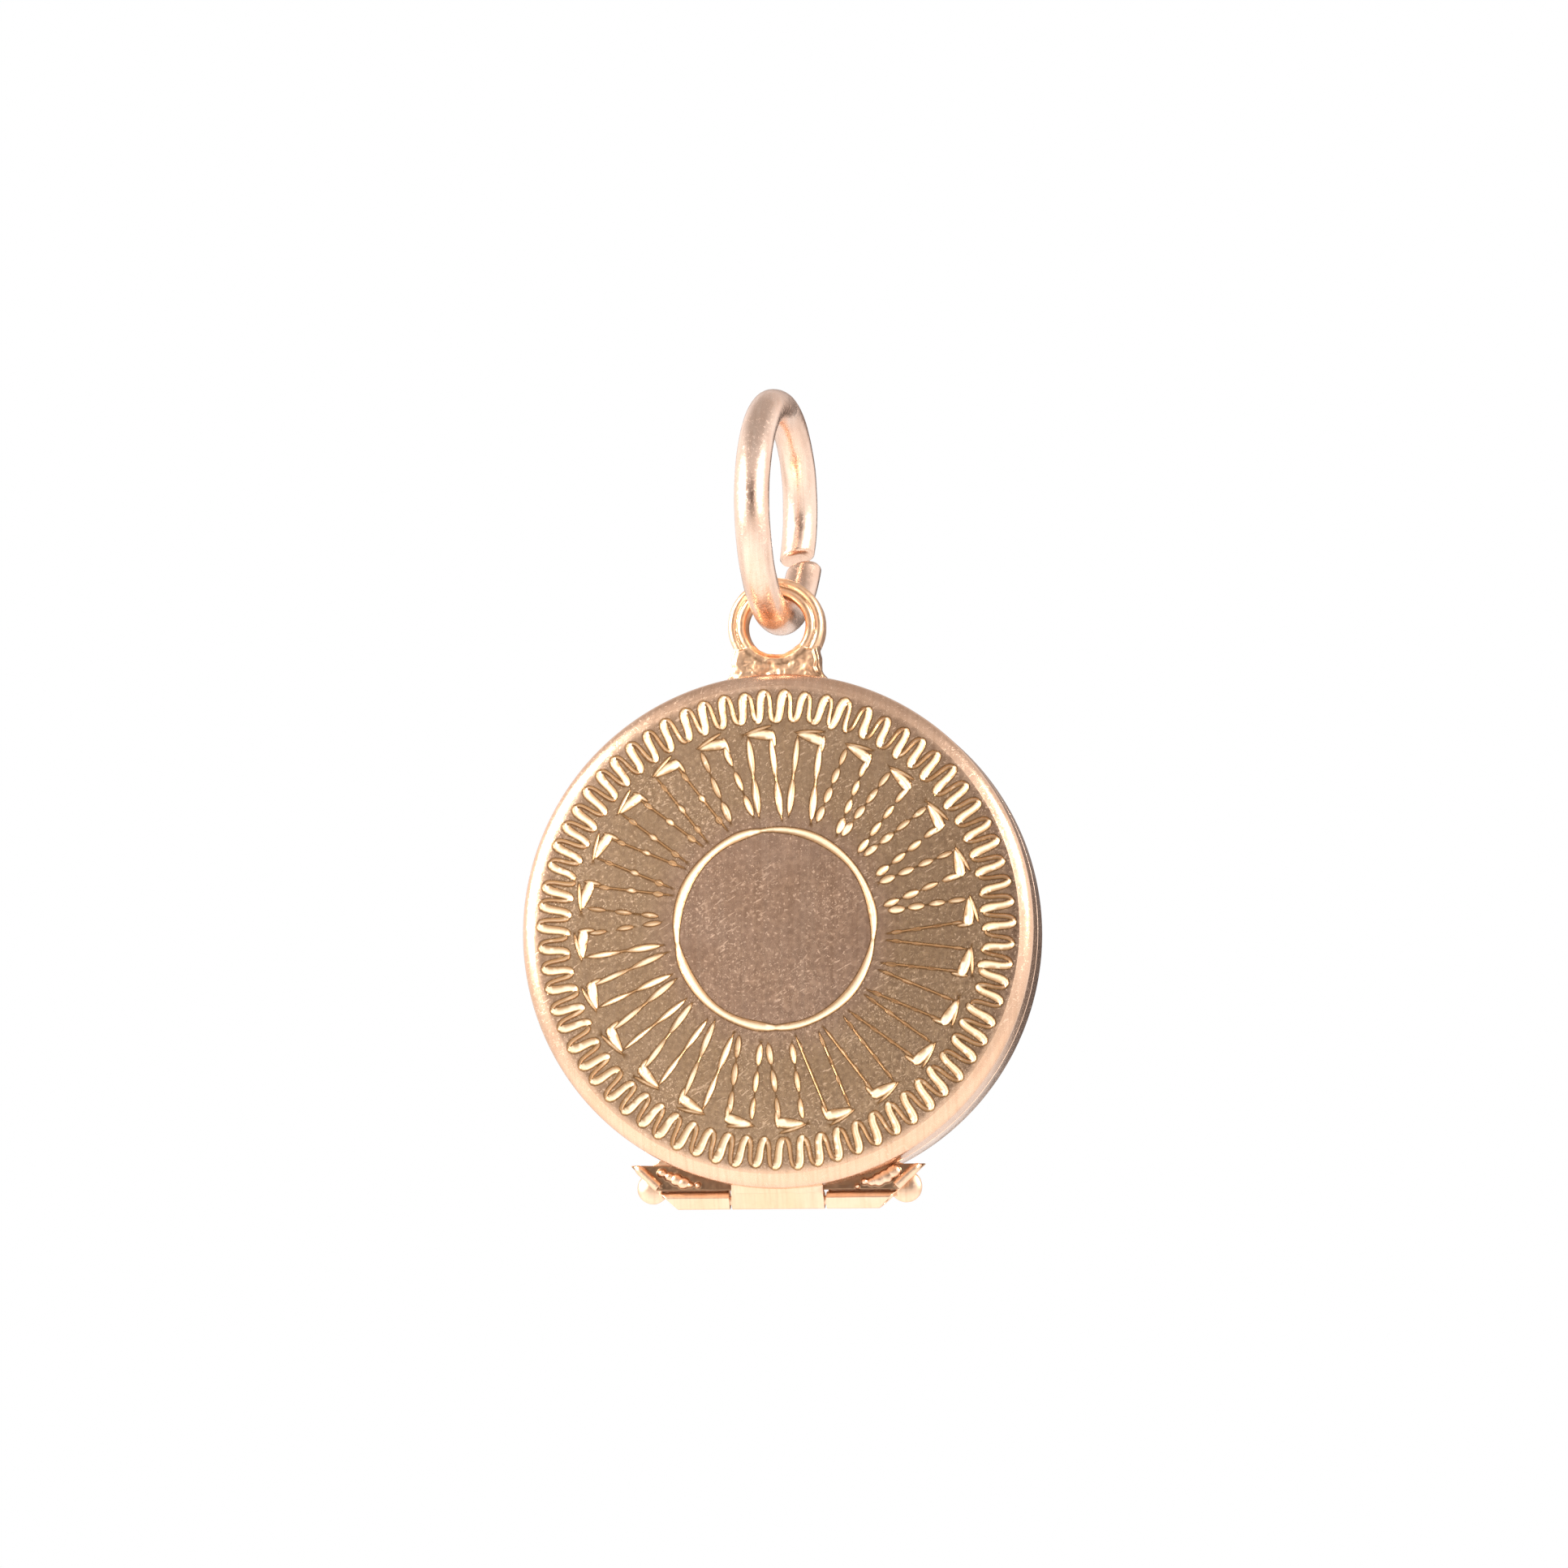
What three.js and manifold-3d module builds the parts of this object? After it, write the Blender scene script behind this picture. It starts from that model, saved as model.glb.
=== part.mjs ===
// A small round gold locket, shut, hanging from its jump ring. Millimetres, +Z up, -Y the front.
// The origin is the inside top of the jump ring, where a chain bears, so the locket hangs below it.
// The front half opens forwards and down on a three-knuckle hinge at the bottom of the case.
import * as THREE from "three";
import { mergeVertices } from "three/addons/utils/BufferGeometryUtils.js";
import Module from "manifold-3d";

const wasm = await Module();
wasm.setup();

// ---- Driving dimensions ----

// Clearances.
const solderGap = 0.03; // film of solder between joined pieces
const layerGap = 0.02; // between the layers stacked inside each half
const seatGap = 0.04; // round a piece that presses into its seat
const runningGap = 0.05; // between pieces that turn or slide past each other
const knuckleGap = 0.07; // end to end between hinge knuckles

// Case, front and back halves together.
const caseRadius = 8.5;
const caseThickness = 3.4;
const seamGap = 0.06; // between the shut halves
const sheet = 0.28; // gold sheet of both covers
const shoulderRadius = 0.43; // rounded edge of each cover
const frontCrown = 0.12; // how far the front's middle stands proud of its edge

// Rings inside the case.
const ringWall = 0.25; // front case ring, round the snap rim
const rimWall = 0.26; // snap rim
const rimSeat = 0.5; // how deep the snap rim is set in the back case ring
const rimBead = 0.02; // raised bead that clicks past the front case ring
const rimBeadWidth = 0.12;
const rimBeadInset = 0.2; // bead's middle to the rim's edge
const seatStep = 0.2; // ledge between the snap rim and the photo seat

// Photo inserts, the same in both halves.
const cardThickness = 0.12;
const glazingThickness = 0.2;
const frameThickness = 0.27;
const frameWidth = 1.2;
const frameBevel = 0.17;

// Hinge.
const pinOffset = 0.34; // pin's axis outside the case's edge
const pinRadius = 0.15;
const pinGap = 0.02; // radial, in the knuckles
const pinInset = 0.1; // pin's end inside the filed end of a knuckle
const knuckleRadius = 0.29;
const frontKnuckleLength = 3.08;
const barLength = 6.7; // three knuckles together, along the bottom
const hingeShift = -0.13; // the hinge is set a little left of centre
const wingReach = 4.93; // hinge's middle to a wing's tip
const wingRise = 1.17; // wing's flat top above the pin's axis
const wingBottom = 0.36; // front wing's lower edge above the pin's axis
const wingThickness = 0.46;
const lobeRadius = 0.5; // round end of a back wing
const lobeReach = 4.22; // hinge's middle to the lobe's centre
const lobeRise = 0.44; // lobe's centre above the pin's axis

// Bail, soldered to the back half.
const bailHoleRadius = 0.97;
const bailWall = 0.64; // from the hole to the outside
const bailDepth = 1.2; // front to back
const bailLift = 1.77; // hole's centre above the case's edge
const bailShift = -0.25; // hole's centre to the side of the case's centre
const bailSetback = 0.55; // behind the seam
const saddleHalfWidth = 1.4;
const saddleFlare = 0.22; // extra half width where the saddle meets the case
const saddleRise = 1.15; // saddle's top corners above the case's edge
const saddleFoot = 0.09; // height of the saddle's upright foot

// Jump ring.
const ringWireRadius = 0.6;
const ringInnerRadius = 2.935;
const ringGapMiddle = THREE.MathUtils.degToRad(-22.5); // at the back, below the ring's middle
const ringGapWidth = 0.4;
const ringSpring = 0.3; // how far the two ends have sprung apart sideways
const ringTwist = THREE.MathUtils.degToRad(-5.8); // about Z, from square to the case

// Fineness of the round pieces.
const caseSides = 64;
const crownSteps = 4;
const wireSides = 14;
const bailSides = 32;
const ringSteps = 56;
const knuckleSides = 24;
const pinSides = 16;

// ---- Worked-out places, in the case's own frame: its centre on the seam plane ----

const halfThickness = caseThickness / 2;
const seamDepth = seamGap / 2;
const sheetInside = halfThickness - sheet;

const skirtInside = caseRadius - sheet;
const caseRingOutside = skirtInside - solderGap;
const rimBore = caseRingOutside - ringWall;
const rimOutside = rimBore - runningGap;
const rimInside = rimOutside - rimWall;
const photoSeat = rimInside - seatStep;
const insertRadius = photoSeat - seatGap;
const sightRadius = insertRadius - frameWidth;

// Depths from the seam plane of each layer's outer and inner face.
const cardOuter = sheetInside - layerGap;
const cardInner = cardOuter - cardThickness;
const glazingOuter = cardInner - layerGap;
const glazingInner = glazingOuter - glazingThickness;
const frameOuter = glazingInner - layerGap;
const frameInner = frameOuter - frameThickness;
const rimReach = frameInner - runningGap;

const pinZ = -(caseRadius + pinOffset);
const barBottomZ = pinZ - knuckleRadius;
const wingTopZ = pinZ + wingRise;
const channelRadius = knuckleRadius + runningGap;
const caseEdge = caseRadius + solderGap;

const bailZ = runningGap - 2 * ringInnerRadius - bailHoleRadius; // in the part's frame
const caseZ = bailZ - (caseRadius + bailLift);

// ---- Geometry helpers ----

const signedArea = (points) =>
  points.reduce((sum, p, i) => {
    const q = points[(i + 1) % points.length];
    return sum + (p[0] * q[1] - q[0] * p[1]) / 2;
  }, 0);

// [x, y] points on an arc, both ends included.
function arc(cx, cy, radius, from, to, steps) {
  return Array.from({ length: steps + 1 }, (_, i) => {
    const angle = THREE.MathUtils.degToRad(from + ((to - from) * i) / steps);
    return [cx + radius * Math.cos(angle), cy + radius * Math.sin(angle)];
  });
}

// Solid of revolution about Y from a closed outline of [radius, y] points.
function turned(outline, sides = caseSides) {
  const points = signedArea(outline) < 0 ? [...outline].reverse() : outline;
  const onAxis = points.some((p) => p[0] === 0);
  // An outline that meets the axis starts and ends there; any other closes on itself.
  const first = onAxis
    ? points.findIndex((p, i) => p[0] === 0 && points.at(i - 1)[0] === 0)
    : 0;
  const ordered = [...points.slice(first), ...points.slice(0, first)];
  if (!onAxis) ordered.push(ordered[0]);
  return new THREE.LatheGeometry(
    ordered.map((p) => new THREE.Vector2(p[0], p[1])),
    sides,
  );
}

// Flat plate from an outline of [x, z] points, between two values of y.
function plate(outline, yFront, yBack) {
  const shape = new THREE.Shape(outline.map((p) => new THREE.Vector2(...p)));
  const depth = yBack - yFront;
  return new THREE.ExtrudeGeometry(shape, { depth, bevelEnabled: false })
    .rotateX(Math.PI / 2)
    .translate(0, yBack, 0);
}

// Bar along X, centred on the hinge's axis, with an optional bore.
function bar(radius, xFrom, xTo, sides, bore = 0) {
  const circle = (r) =>
    arc(0, 0, r, 0, 360 - 360 / sides, sides - 1).map(
      (p) => new THREE.Vector2(...p),
    );
  const shape = new THREE.Shape(circle(radius));
  if (bore) shape.holes.push(new THREE.Path(circle(bore)));
  return new THREE.ExtrudeGeometry(shape, {
    depth: xTo - xFrom,
    bevelEnabled: false,
  })
    .rotateY(Math.PI / 2)
    .translate(xFrom, 0, pinZ);
}

function solid(geometry) {
  const bare = geometry.index ? geometry.toNonIndexed() : geometry.clone();
  bare.deleteAttribute("normal");
  bare.deleteAttribute("uv");
  const merged = mergeVertices(bare, 1e-4);
  return new wasm.Manifold(
    new wasm.Mesh({
      numProp: 3,
      vertProperties: merged.attributes.position.array,
      triVerts: new Uint32Array(merged.index.array),
    }),
  );
}

function geometryOf(body) {
  const { vertProperties, triVerts } = body.getMesh();
  const geometry = new THREE.BufferGeometry();
  geometry.setAttribute(
    "position",
    new THREE.BufferAttribute(vertProperties, 3),
  );
  geometry.setIndex(new THREE.BufferAttribute(triVerts, 1));
  const faceted = geometry.toNonIndexed();
  faceted.computeVertexNormals();
  return faceted;
}

const cut = (geometry, ...cutters) =>
  geometryOf(
    cutters.reduce((body, c) => body.subtract(solid(c)), solid(geometry)),
  );

// ---- Colours ----

const metal = (color, roughness) =>
  new THREE.MeshStandardMaterial({ color, roughness, metalness: 1 });

const engravedGold = metal(0xc79a6c, 0.35);
const polishedGold = metal(0xe2b48a, 0.2);
const wireGold = metal(0xe3b591, 0.22);
const giltInside = metal(0xd0a063, 0.3);
const card = new THREE.MeshStandardMaterial({ color: 0xe9dfc8, roughness: 0.9 });
const celluloid = new THREE.MeshStandardMaterial({
  color: 0xf2efe6,
  roughness: 0.08,
  transparent: true,
  opacity: 0.3,
});

function piece(name, geometry, material) {
  const mesh = new THREE.Mesh(geometry, material);
  mesh.name = name;
  return mesh;
}

// ---- Case halves: side is -1 for the front and 1 for the back ----

// Disc about Y, as thick on both sides of its middle.
function disc(radius, halfDepth, sides = caseSides) {
  return turned(
    [
      [0, -halfDepth],
      [radius, -halfDepth],
      [radius, halfDepth],
      [0, halfDepth],
    ],
    sides,
  );
}

// Round outside of the shut case, for cutting what is soldered to its edge.
const caseDisc = () => disc(caseEdge, caseThickness);

const flip = (side, outline) => outline.map(([r, depth]) => [r, side * depth]);

function coverOutline(crown) {
  const flat = caseRadius - shoulderRadius;
  const steps = crown ? crownSteps : 1;
  const face = (depth) =>
    Array.from({ length: steps }, (_, i) => {
      const r = (flat * i) / steps;
      return [r, depth + crown * (1 - (r / flat) ** 2)];
    });
  const edgeCentre = halfThickness - shoulderRadius;
  return [
    ...face(halfThickness),
    ...arc(flat, edgeCentre, shoulderRadius, 90, 0, 6),
    [caseRadius, seamDepth],
    [skirtInside, seamDepth],
    ...arc(flat, edgeCentre, shoulderRadius - sheet, 0, 90, 4),
    ...face(sheetInside).reverse(),
  ];
}

// Channel that the knuckles lie in, cut from both halves round the pin's axis.
function knuckleChannel() {
  const reach = slantX(pinZ + channelRadius) + knuckleGap;
  return bar(channelRadius, hingeShift - reach, hingeShift + reach, knuckleSides);
}

// Where the filed line from a wing's tip to the bar's lower corner lies, at height z.
function slantX(z) {
  const perRise = (wingReach - barLength / 2) / (wingTopZ - barBottomZ);
  return barLength / 2 + (z - barBottomZ) * perRise;
}

function cover(side, crown) {
  return cut(turned(flip(side, coverOutline(crown))), knuckleChannel());
}

// Ring soldered inside a cover's edge: a wide bore at the seam, then the narrower photo seat.
function caseRing(side, wideBore, wideDepth) {
  const deep = sheetInside - solderGap;
  const chamfer = shoulderRadius - sheet;
  const outline = [
    [caseRingOutside, seamDepth],
    [caseRingOutside, deep - chamfer],
    [caseRingOutside - chamfer, deep],
    [photoSeat, deep],
    [photoSeat, wideDepth],
    [wideBore, wideDepth],
    [wideBore, seamDepth],
  ];
  return cut(turned(flip(side, outline)), knuckleChannel());
}

function snapRim() {
  const lead = rimWall / 3;
  const bead = -rimReach + rimBeadInset;
  return turned([
    [rimInside, rimSeat],
    [rimInside, -rimReach],
    [rimOutside - lead, -rimReach],
    [rimOutside, -rimReach + lead],
    [rimOutside, bead - rimBeadWidth / 2],
    [rimOutside + rimBead, bead],
    [rimOutside, bead + rimBeadWidth / 2],
    [rimOutside, rimSeat],
  ]);
}

function insertDisc(side, outer, inner) {
  const outline = [
    [0, inner],
    [insertRadius, inner],
    [insertRadius, outer],
    [0, outer],
  ];
  return turned(flip(side, outline));
}

function photoFrame(side) {
  const outline = [
    [insertRadius, frameInner],
    [insertRadius, frameOuter],
    [sightRadius, frameOuter],
    [sightRadius, frameOuter - frameThickness / 3],
    [sightRadius + frameBevel, frameInner],
  ];
  return turned(flip(side, outline));
}

// ---- Hinge ----

// Block beyond the filed end of the bar, on one side; end is -1 left or 1 right.
function endTrimmer(end) {
  const low = barBottomZ - knuckleRadius;
  const high = pinZ + 2 * knuckleRadius;
  const far = wingReach + barLength;
  const outline = [
    [end * slantX(low), low],
    [end * far, low],
    [end * far, high],
    [end * slantX(high), high],
  ];
  return plate(outline, -2 * knuckleRadius, 2 * knuckleRadius);
}

function frontKnuckle() {
  const half = frontKnuckleLength / 2;
  return bar(knuckleRadius, -half, half, knuckleSides, pinRadius + pinGap);
}

function backKnuckle(end) {
  const inner = end * (frontKnuckleLength / 2 + knuckleGap);
  const outer = end * slantX(pinZ + knuckleRadius);
  const blank = bar(
    knuckleRadius,
    Math.min(inner, outer),
    Math.max(inner, outer),
    knuckleSides,
    pinRadius + pinGap,
  );
  return cut(blank, endTrimmer(end));
}

function hingePin() {
  const half = slantX(pinZ - pinRadius) - pinInset;
  return bar(pinRadius, -half, half, pinSides);
}

const channelAtHinge = () => knuckleChannel().translate(-hingeShift, 0, 0);

// Wings fill the corners between the round case and the straight bar.
function frontWing(end) {
  const inner = frontKnuckleLength / 2 + knuckleGap;
  const bottom = pinZ + wingBottom;
  const outline = [
    [end * inner, wingTopZ],
    [end * wingReach, wingTopZ],
    [end * slantX(bottom), bottom],
    [end * inner, bottom],
  ];
  const blank = plate(outline, -seamDepth - wingThickness, -seamDepth);
  return cut(blank, caseDisc().translate(-hingeShift, 0, 0), channelAtHinge());
}

function backWing(end) {
  const inner = frontKnuckleLength / 2 + knuckleGap;
  const lobeZ = pinZ + lobeRise;
  const lobe = arc(lobeReach, lobeZ, lobeRadius, 75, -90, 8);
  const outline = [
    [inner, wingTopZ],
    [lobeReach, wingTopZ],
    ...lobe,
    [slantX(lobeZ - lobeRadius) + knuckleGap, lobeZ - lobeRadius],
    [slantX(pinZ) + knuckleGap, pinZ],
    [inner, pinZ],
  ].map(([x, z]) => [end * x, z]);
  const blank = plate(outline, seamDepth, seamDepth + wingThickness);
  const knuckle = bar(channelRadius, -wingReach, wingReach, knuckleSides);
  // The channel stops at the knuckle's filed end, a knuckle gap further out.
  const channel = cut(knuckle, endTrimmer(end).translate(end * knuckleGap, 0, 0));
  return cut(blank, caseDisc().translate(-hingeShift, 0, 0), channel);
}

// ---- Bail, in a frame at its hole's centre ----

function caseUnderBail() {
  return caseDisc().translate(-bailShift, 0, -(caseRadius + bailLift));
}

// Ring of oval section, grown by a margin all round.
function bailOval(margin = 0) {
  const oval = arc(0, 0, 1, 0, 360 - 360 / wireSides, wireSides - 1).map(([x, y]) => [
    bailHoleRadius + bailWall / 2 + x * (bailWall / 2 + margin),
    y * (bailDepth / 2 + margin),
  ]);
  return turned(oval, bailSides);
}

const bailRing = () => cut(bailOval(), caseUnderBail());

function bailSaddle() {
  const edge = -bailLift;
  const top = edge + saddleRise;
  const half = [
    [saddleHalfWidth + saddleFlare, edge - saddleRise / 2],
    [saddleHalfWidth + saddleFlare, edge - saddleFoot],
    [saddleHalfWidth, edge + saddleFlare],
    [saddleHalfWidth, top],
  ];
  const outline = [...half, ...half.map(([x, z]) => [-x, z]).reverse()];
  const blank = plate(outline, -bailDepth / 2, bailDepth / 2);
  const hole = disc(bailHoleRadius + bailWall / 2, bailDepth, bailSides);
  return cut(blank, hole, bailOval(solderGap), caseUnderBail());
}

// ---- Jump ring, in a frame at the inside top ----

class SprungRing extends THREE.Curve {
  getPoint(t, target = new THREE.Vector3()) {
    const radius = ringInnerRadius + ringWireRadius;
    const halfGap = ringGapWidth / 2 / radius;
    const start = ringGapMiddle + halfGap;
    const angle = start + t * (2 * Math.PI - 2 * halfGap);
    const spring = (2 * t - 1) ** 5 * (ringSpring / 2);
    return target.set(
      spring,
      radius * Math.cos(angle),
      radius * Math.sin(angle) - ringInnerRadius,
    );
  }
}

function jumpRing() {
  const section = new THREE.Shape(
    arc(0, 0, ringWireRadius, 0, 360 - 360 / wireSides, wireSides - 1).map(
      (p) => new THREE.Vector2(...p),
    ),
  );
  return new THREE.ExtrudeGeometry(section, {
    steps: ringSteps,
    extrudePath: new SprungRing(),
  });
}

// ---- Assembly ----

const hinge = new THREE.Group();
hinge.position.x = hingeShift;
hinge.add(
  piece("hinge_knuckle_front", frontKnuckle(), polishedGold),
  piece("hinge_pin", hingePin(), polishedGold),
);
for (const [sideName, end] of [
  ["left", -1],
  ["right", 1],
]) {
  hinge.add(
    piece(`hinge_knuckle_back_${sideName}`, backKnuckle(end), polishedGold),
    piece(`front_wing_${sideName}`, frontWing(end), polishedGold),
    piece(`back_wing_${sideName}`, backWing(end), polishedGold),
  );
}

const locketCase = new THREE.Group();
locketCase.position.set(-bailShift, -bailSetback, caseZ);
locketCase.add(
  piece("front_cover", cover(-1, frontCrown), engravedGold),
  piece("back_cover", cover(1, 0), polishedGold),
  piece("front_case_ring", caseRing(-1, rimBore, frameInner), giltInside),
  piece("back_case_ring", caseRing(1, rimOutside + solderGap, rimSeat + solderGap), giltInside),
  piece("snap_rim", snapRim(), giltInside),
  hinge,
);
for (const [sideName, side] of [
  ["front", -1],
  ["back", 1],
]) {
  locketCase.add(
    piece(`${sideName}_photo_card`, insertDisc(side, cardOuter, cardInner), card),
    piece(`${sideName}_glazing`, insertDisc(side, glazingOuter, glazingInner), celluloid),
    piece(`${sideName}_photo_frame`, photoFrame(side), giltInside),
  );
}

const bail = new THREE.Group();
bail.position.z = bailZ;
bail.add(
  piece("bail_ring", bailRing(), wireGold),
  piece("bail_saddle", bailSaddle(), wireGold),
);

const ring = new THREE.Group();
ring.rotation.z = ringTwist;
ring.add(piece("jump_ring", jumpRing(), wireGold));

const locket = new THREE.Group();
locket.add(ring, bail, locketCase);

export default locket;
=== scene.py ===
"""A small round gold locket, shut, hanging from its open jump ring: the looks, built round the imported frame.

Lengths in this script are millimetres, except where a name or a call says otherwise.
"""
import math
import random

import bpy
import numpy as np
from mathutils import Matrix, Vector, noise
from mathutils.geometry import delaunay_2d_cdt


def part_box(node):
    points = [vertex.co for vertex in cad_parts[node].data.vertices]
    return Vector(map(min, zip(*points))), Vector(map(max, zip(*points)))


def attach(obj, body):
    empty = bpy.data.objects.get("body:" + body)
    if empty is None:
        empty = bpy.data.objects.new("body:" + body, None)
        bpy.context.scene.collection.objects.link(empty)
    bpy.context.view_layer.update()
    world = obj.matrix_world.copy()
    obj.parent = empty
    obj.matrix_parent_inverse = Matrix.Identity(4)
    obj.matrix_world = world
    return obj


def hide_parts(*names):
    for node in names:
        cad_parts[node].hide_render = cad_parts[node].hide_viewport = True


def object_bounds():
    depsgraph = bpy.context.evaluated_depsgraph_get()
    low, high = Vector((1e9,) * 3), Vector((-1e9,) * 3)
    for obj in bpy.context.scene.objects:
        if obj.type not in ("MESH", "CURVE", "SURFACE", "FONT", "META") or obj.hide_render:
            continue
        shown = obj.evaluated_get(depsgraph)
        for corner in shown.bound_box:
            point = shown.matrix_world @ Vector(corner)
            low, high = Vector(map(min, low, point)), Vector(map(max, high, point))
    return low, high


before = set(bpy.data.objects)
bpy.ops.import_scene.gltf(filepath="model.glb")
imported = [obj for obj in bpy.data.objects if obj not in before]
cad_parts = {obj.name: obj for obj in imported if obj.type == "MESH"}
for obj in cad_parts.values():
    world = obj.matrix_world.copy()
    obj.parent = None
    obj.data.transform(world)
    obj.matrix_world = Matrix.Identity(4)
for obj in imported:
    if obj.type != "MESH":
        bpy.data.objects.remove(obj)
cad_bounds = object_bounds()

MM = 0.001
TAU = 2 * math.pi
rng = random.Random(71)

# ---- Places and sizes from the frame ----


def box_mm(node):
    lo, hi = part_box(node)
    return lo / MM, hi / MM


front_lo, front_hi = box_mm("front_cover")
back_lo, back_hi = box_mm("back_cover")
CASE_X = (front_lo.x + front_hi.x) / 2
CASE_Z = (front_lo.z + front_hi.z) / 2
CASE_RADIUS = (front_hi.x - front_lo.x) / 2
SEAM_Y = (front_hi.y + back_lo.y) / 2
SEAM_HALF = (back_lo.y - front_hi.y) / 2
FRONT_DEPTH = SEAM_Y - front_lo.y
BACK_DEPTH = back_hi.y - SEAM_Y

# ---- Named sizes of what the frame doesn't hold ----

CROWN = 0.2  # how far the front's middle stands proud of its edge
SHEET = 0.28
SHOULDER = 0.43  # radius of the covers' rounded edges
FACE_RADIUS = CASE_RADIUS - SHOULDER
ROLL_START = 7.87  # where the front starts to roll over towards its edge
ROLL_SLOPE = 0.24  # its slope where the shoulder takes over
ROUND_STEPS = 8  # along a cover's shoulder
RIM_SIDES = 288  # round the engraved cover
BACK_SIDES = 256
TURNED_SIDES = 192  # round the inner pieces
FACE_SPACING = 0.3  # between the face's own points
LIP_OUTER = 0.05  # roundings of the sheet's edge at the seam
LIP_INNER = 0.04

# Engraving, as radii from the case's axis.
BORDER_INNER = 6.93
BORDER_OUTER = 7.86
BORDER_TEETH = 71
RAY_LOOPS = 24
RAY_OUTER = 6.45
RAY_INNER = 3.72
RAY_START = 6.9  # clock angle of the first loop
RAY_PAIR_GAP = 0.75  # between a loop's two sides
RING_CUT = 3.27
CUT_SLOPE = 0.62  # depth of a cut over its half width
CUT_HALO = 0.065  # band of painted shade round a cut's edge
CUT_MARGIN = 0.02  # round a cut's box, for rounding errors
# Up to each clock angle: a ray side's parts, the share of each that is gap, its half width and painted
# highlight.
RAY_STYLES = (
    (17, (2, 0.04, 0.115, 1.0)),
    (88, (4, 0.13, 0.108, 1.0)),
    (166, (4, 0.42, 0.055, 0.5)),
    (200, (3, 0.15, 0.095, 0.95)),
    (264, (2, 0.05, 0.1, 1.0)),
    (283, (3, 0.3, 0.075, 0.85)),
    (330, (3, 0.6, 0.085, 0.85)),
    (348, (3, 0.13, 0.105, 1.0)),
    (360, (2, 0.04, 0.115, 1.0)),
)

# Hinge, round the pin's axis.
knuckle_lo, knuckle_hi = box_mm("hinge_knuckle_front")
KNUCKLE_RADIUS = (knuckle_hi.z - knuckle_lo.z) / 2
HINGE_X = (knuckle_lo.x + knuckle_hi.x) / 2
PIN_Z = (knuckle_lo.z + knuckle_hi.z) / 2
KNUCKLE_HALF = (knuckle_hi.x - knuckle_lo.x) / 2
KNUCKLE_GAP = 0.07  # end to end between knuckles
PIN_BORE = 0.17
BORE_COVER = 0.06  # least solder round the bore
FILED_LEAN = 28  # degrees by which the flat filed along the bar's front looks down
FILED_AT = 0.76  # its distance from the pin's axis, as a share of the knuckle's radius
FILLET_BULGE = 0.33  # how far the solder stands out beyond the knuckle at the case's edge
wing_lo, wing_hi = box_mm("front_wing_left")
WING_REACH = HINGE_X - wing_lo.x
WING_TOP = wing_hi.z - PIN_Z
WING_THICK = wing_hi.y - wing_lo.y
BAR_HALF = 3.35  # hinge's middle to the bar's lower corner
STRAP_RADIUS = 0.16
STRAP_STEPS = 8
FRONT_WING_FOOT = 0.33  # the pointed wings' lower edge above the pin's axis
FRONT_WING_SETBACK = 0.28  # their floor behind their front
WING_UNDER_EDGE = 0.04  # how far the wings reach past the case's edge
LOBE_X = 4.22  # the round lobes' middles from the hinge's middle
LOBE_Z = 0.44  # and above the pin's axis
LOBE_RADIUS = 0.53
BEAD_COUNT = 6  # beads of solder on each pointed wing

# Bail and jump ring.
bail_lo, bail_hi = box_mm("bail_ring")
BAIL_HOLE = 0.97
BAIL_WALL = 0.64
BAIL_X = (bail_lo.x + bail_hi.x) / 2
BAIL_Z = bail_hi.z - BAIL_HOLE - BAIL_WALL
BAIL_HALF = (bail_hi.y - bail_lo.y) / 2
SECTION_HALF = 0.6  # the half width that the bail's section is drawn for
FOOT_REACH = 1.68  # the bail's middle to the tip of its solder foot
FOOT_ARCH = (0.3, 0.6, 0.85)  # radians from straight down, where the foot follows the loop
FOOT_FLARE = ((1.36, 1.05), (1.39, 1.4), (1.48, 1.62))  # the foot's side, out and down from there
FOOT_LUMPS = 22  # blobs of solder tried on the foot
LOOP_GROOVE = 0.33  # the groove between the loop's two beads, from its hole
ring_lo, ring_hi = box_mm("jump_ring")
WIRE = ring_hi.z / 2
RING_INSIDE = -(ring_lo.z + ring_hi.z) / 2
RING_TWIST = -5.8  # degrees about Z
RING_GAP_AT = -22.5  # degrees from the back, round the ring
RING_GAP = 0.4
RING_SPRING = 0.3  # how far the ends have sprung apart sideways
RING_UNEVEN = 0.012  # hammered unevenness of the wire
RING_RUB = 0.05  # how deep the bail has worn into the wire
RING_BEVEL = 0.16  # slant of the sawn ends

# Inside the case.
RING_WALLS = {"front": 0.25, "back": 0.27}  # of the case rings beside the seam
BACK_RING_STEP = 0.53  # depth behind the seam at which the back ring grows inwards
SEAT_GAP = 0.04  # round a photo frame in its case ring
FRAME_WIDTH = 1.2
SIGHT_LIP = 0.09  # the frame's edge round the picture
SIGHT_SLOPE = 0.17  # width of the slope down to that edge
GROOVE_AT = 0.56  # the frame's groove, from the picture's edge
GROOVE_HALF = 0.06
GROOVE_DEPTH = 0.05
SNAP_WALL = 0.26
SNAP_LEAD = 0.087  # bevel that leads the front half over the rim
SNAP_BEAD_AT = 0.2
SNAP_BEAD_HALF = 0.06
SNAP_BEAD = 0.02  # how far the bead stands out

# Voxels of the soldered pieces.
FINE_VOXEL = 0.022
BROAD_VOXEL = 0.026

# ---- Mesh helpers ----


def to_case(u, v, w):
    """Case coordinates (right, up, depth behind the seam) to the shared frame."""
    return (CASE_X + u, SEAM_Y + w, CASE_Z + v)


def clock(radius, degrees):
    """Point on the face at a clock angle: 0 is up, and it grows clockwise seen from the front."""
    angle = math.radians(degrees)
    return (radius * math.sin(angle), radius * math.cos(angle))


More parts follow.
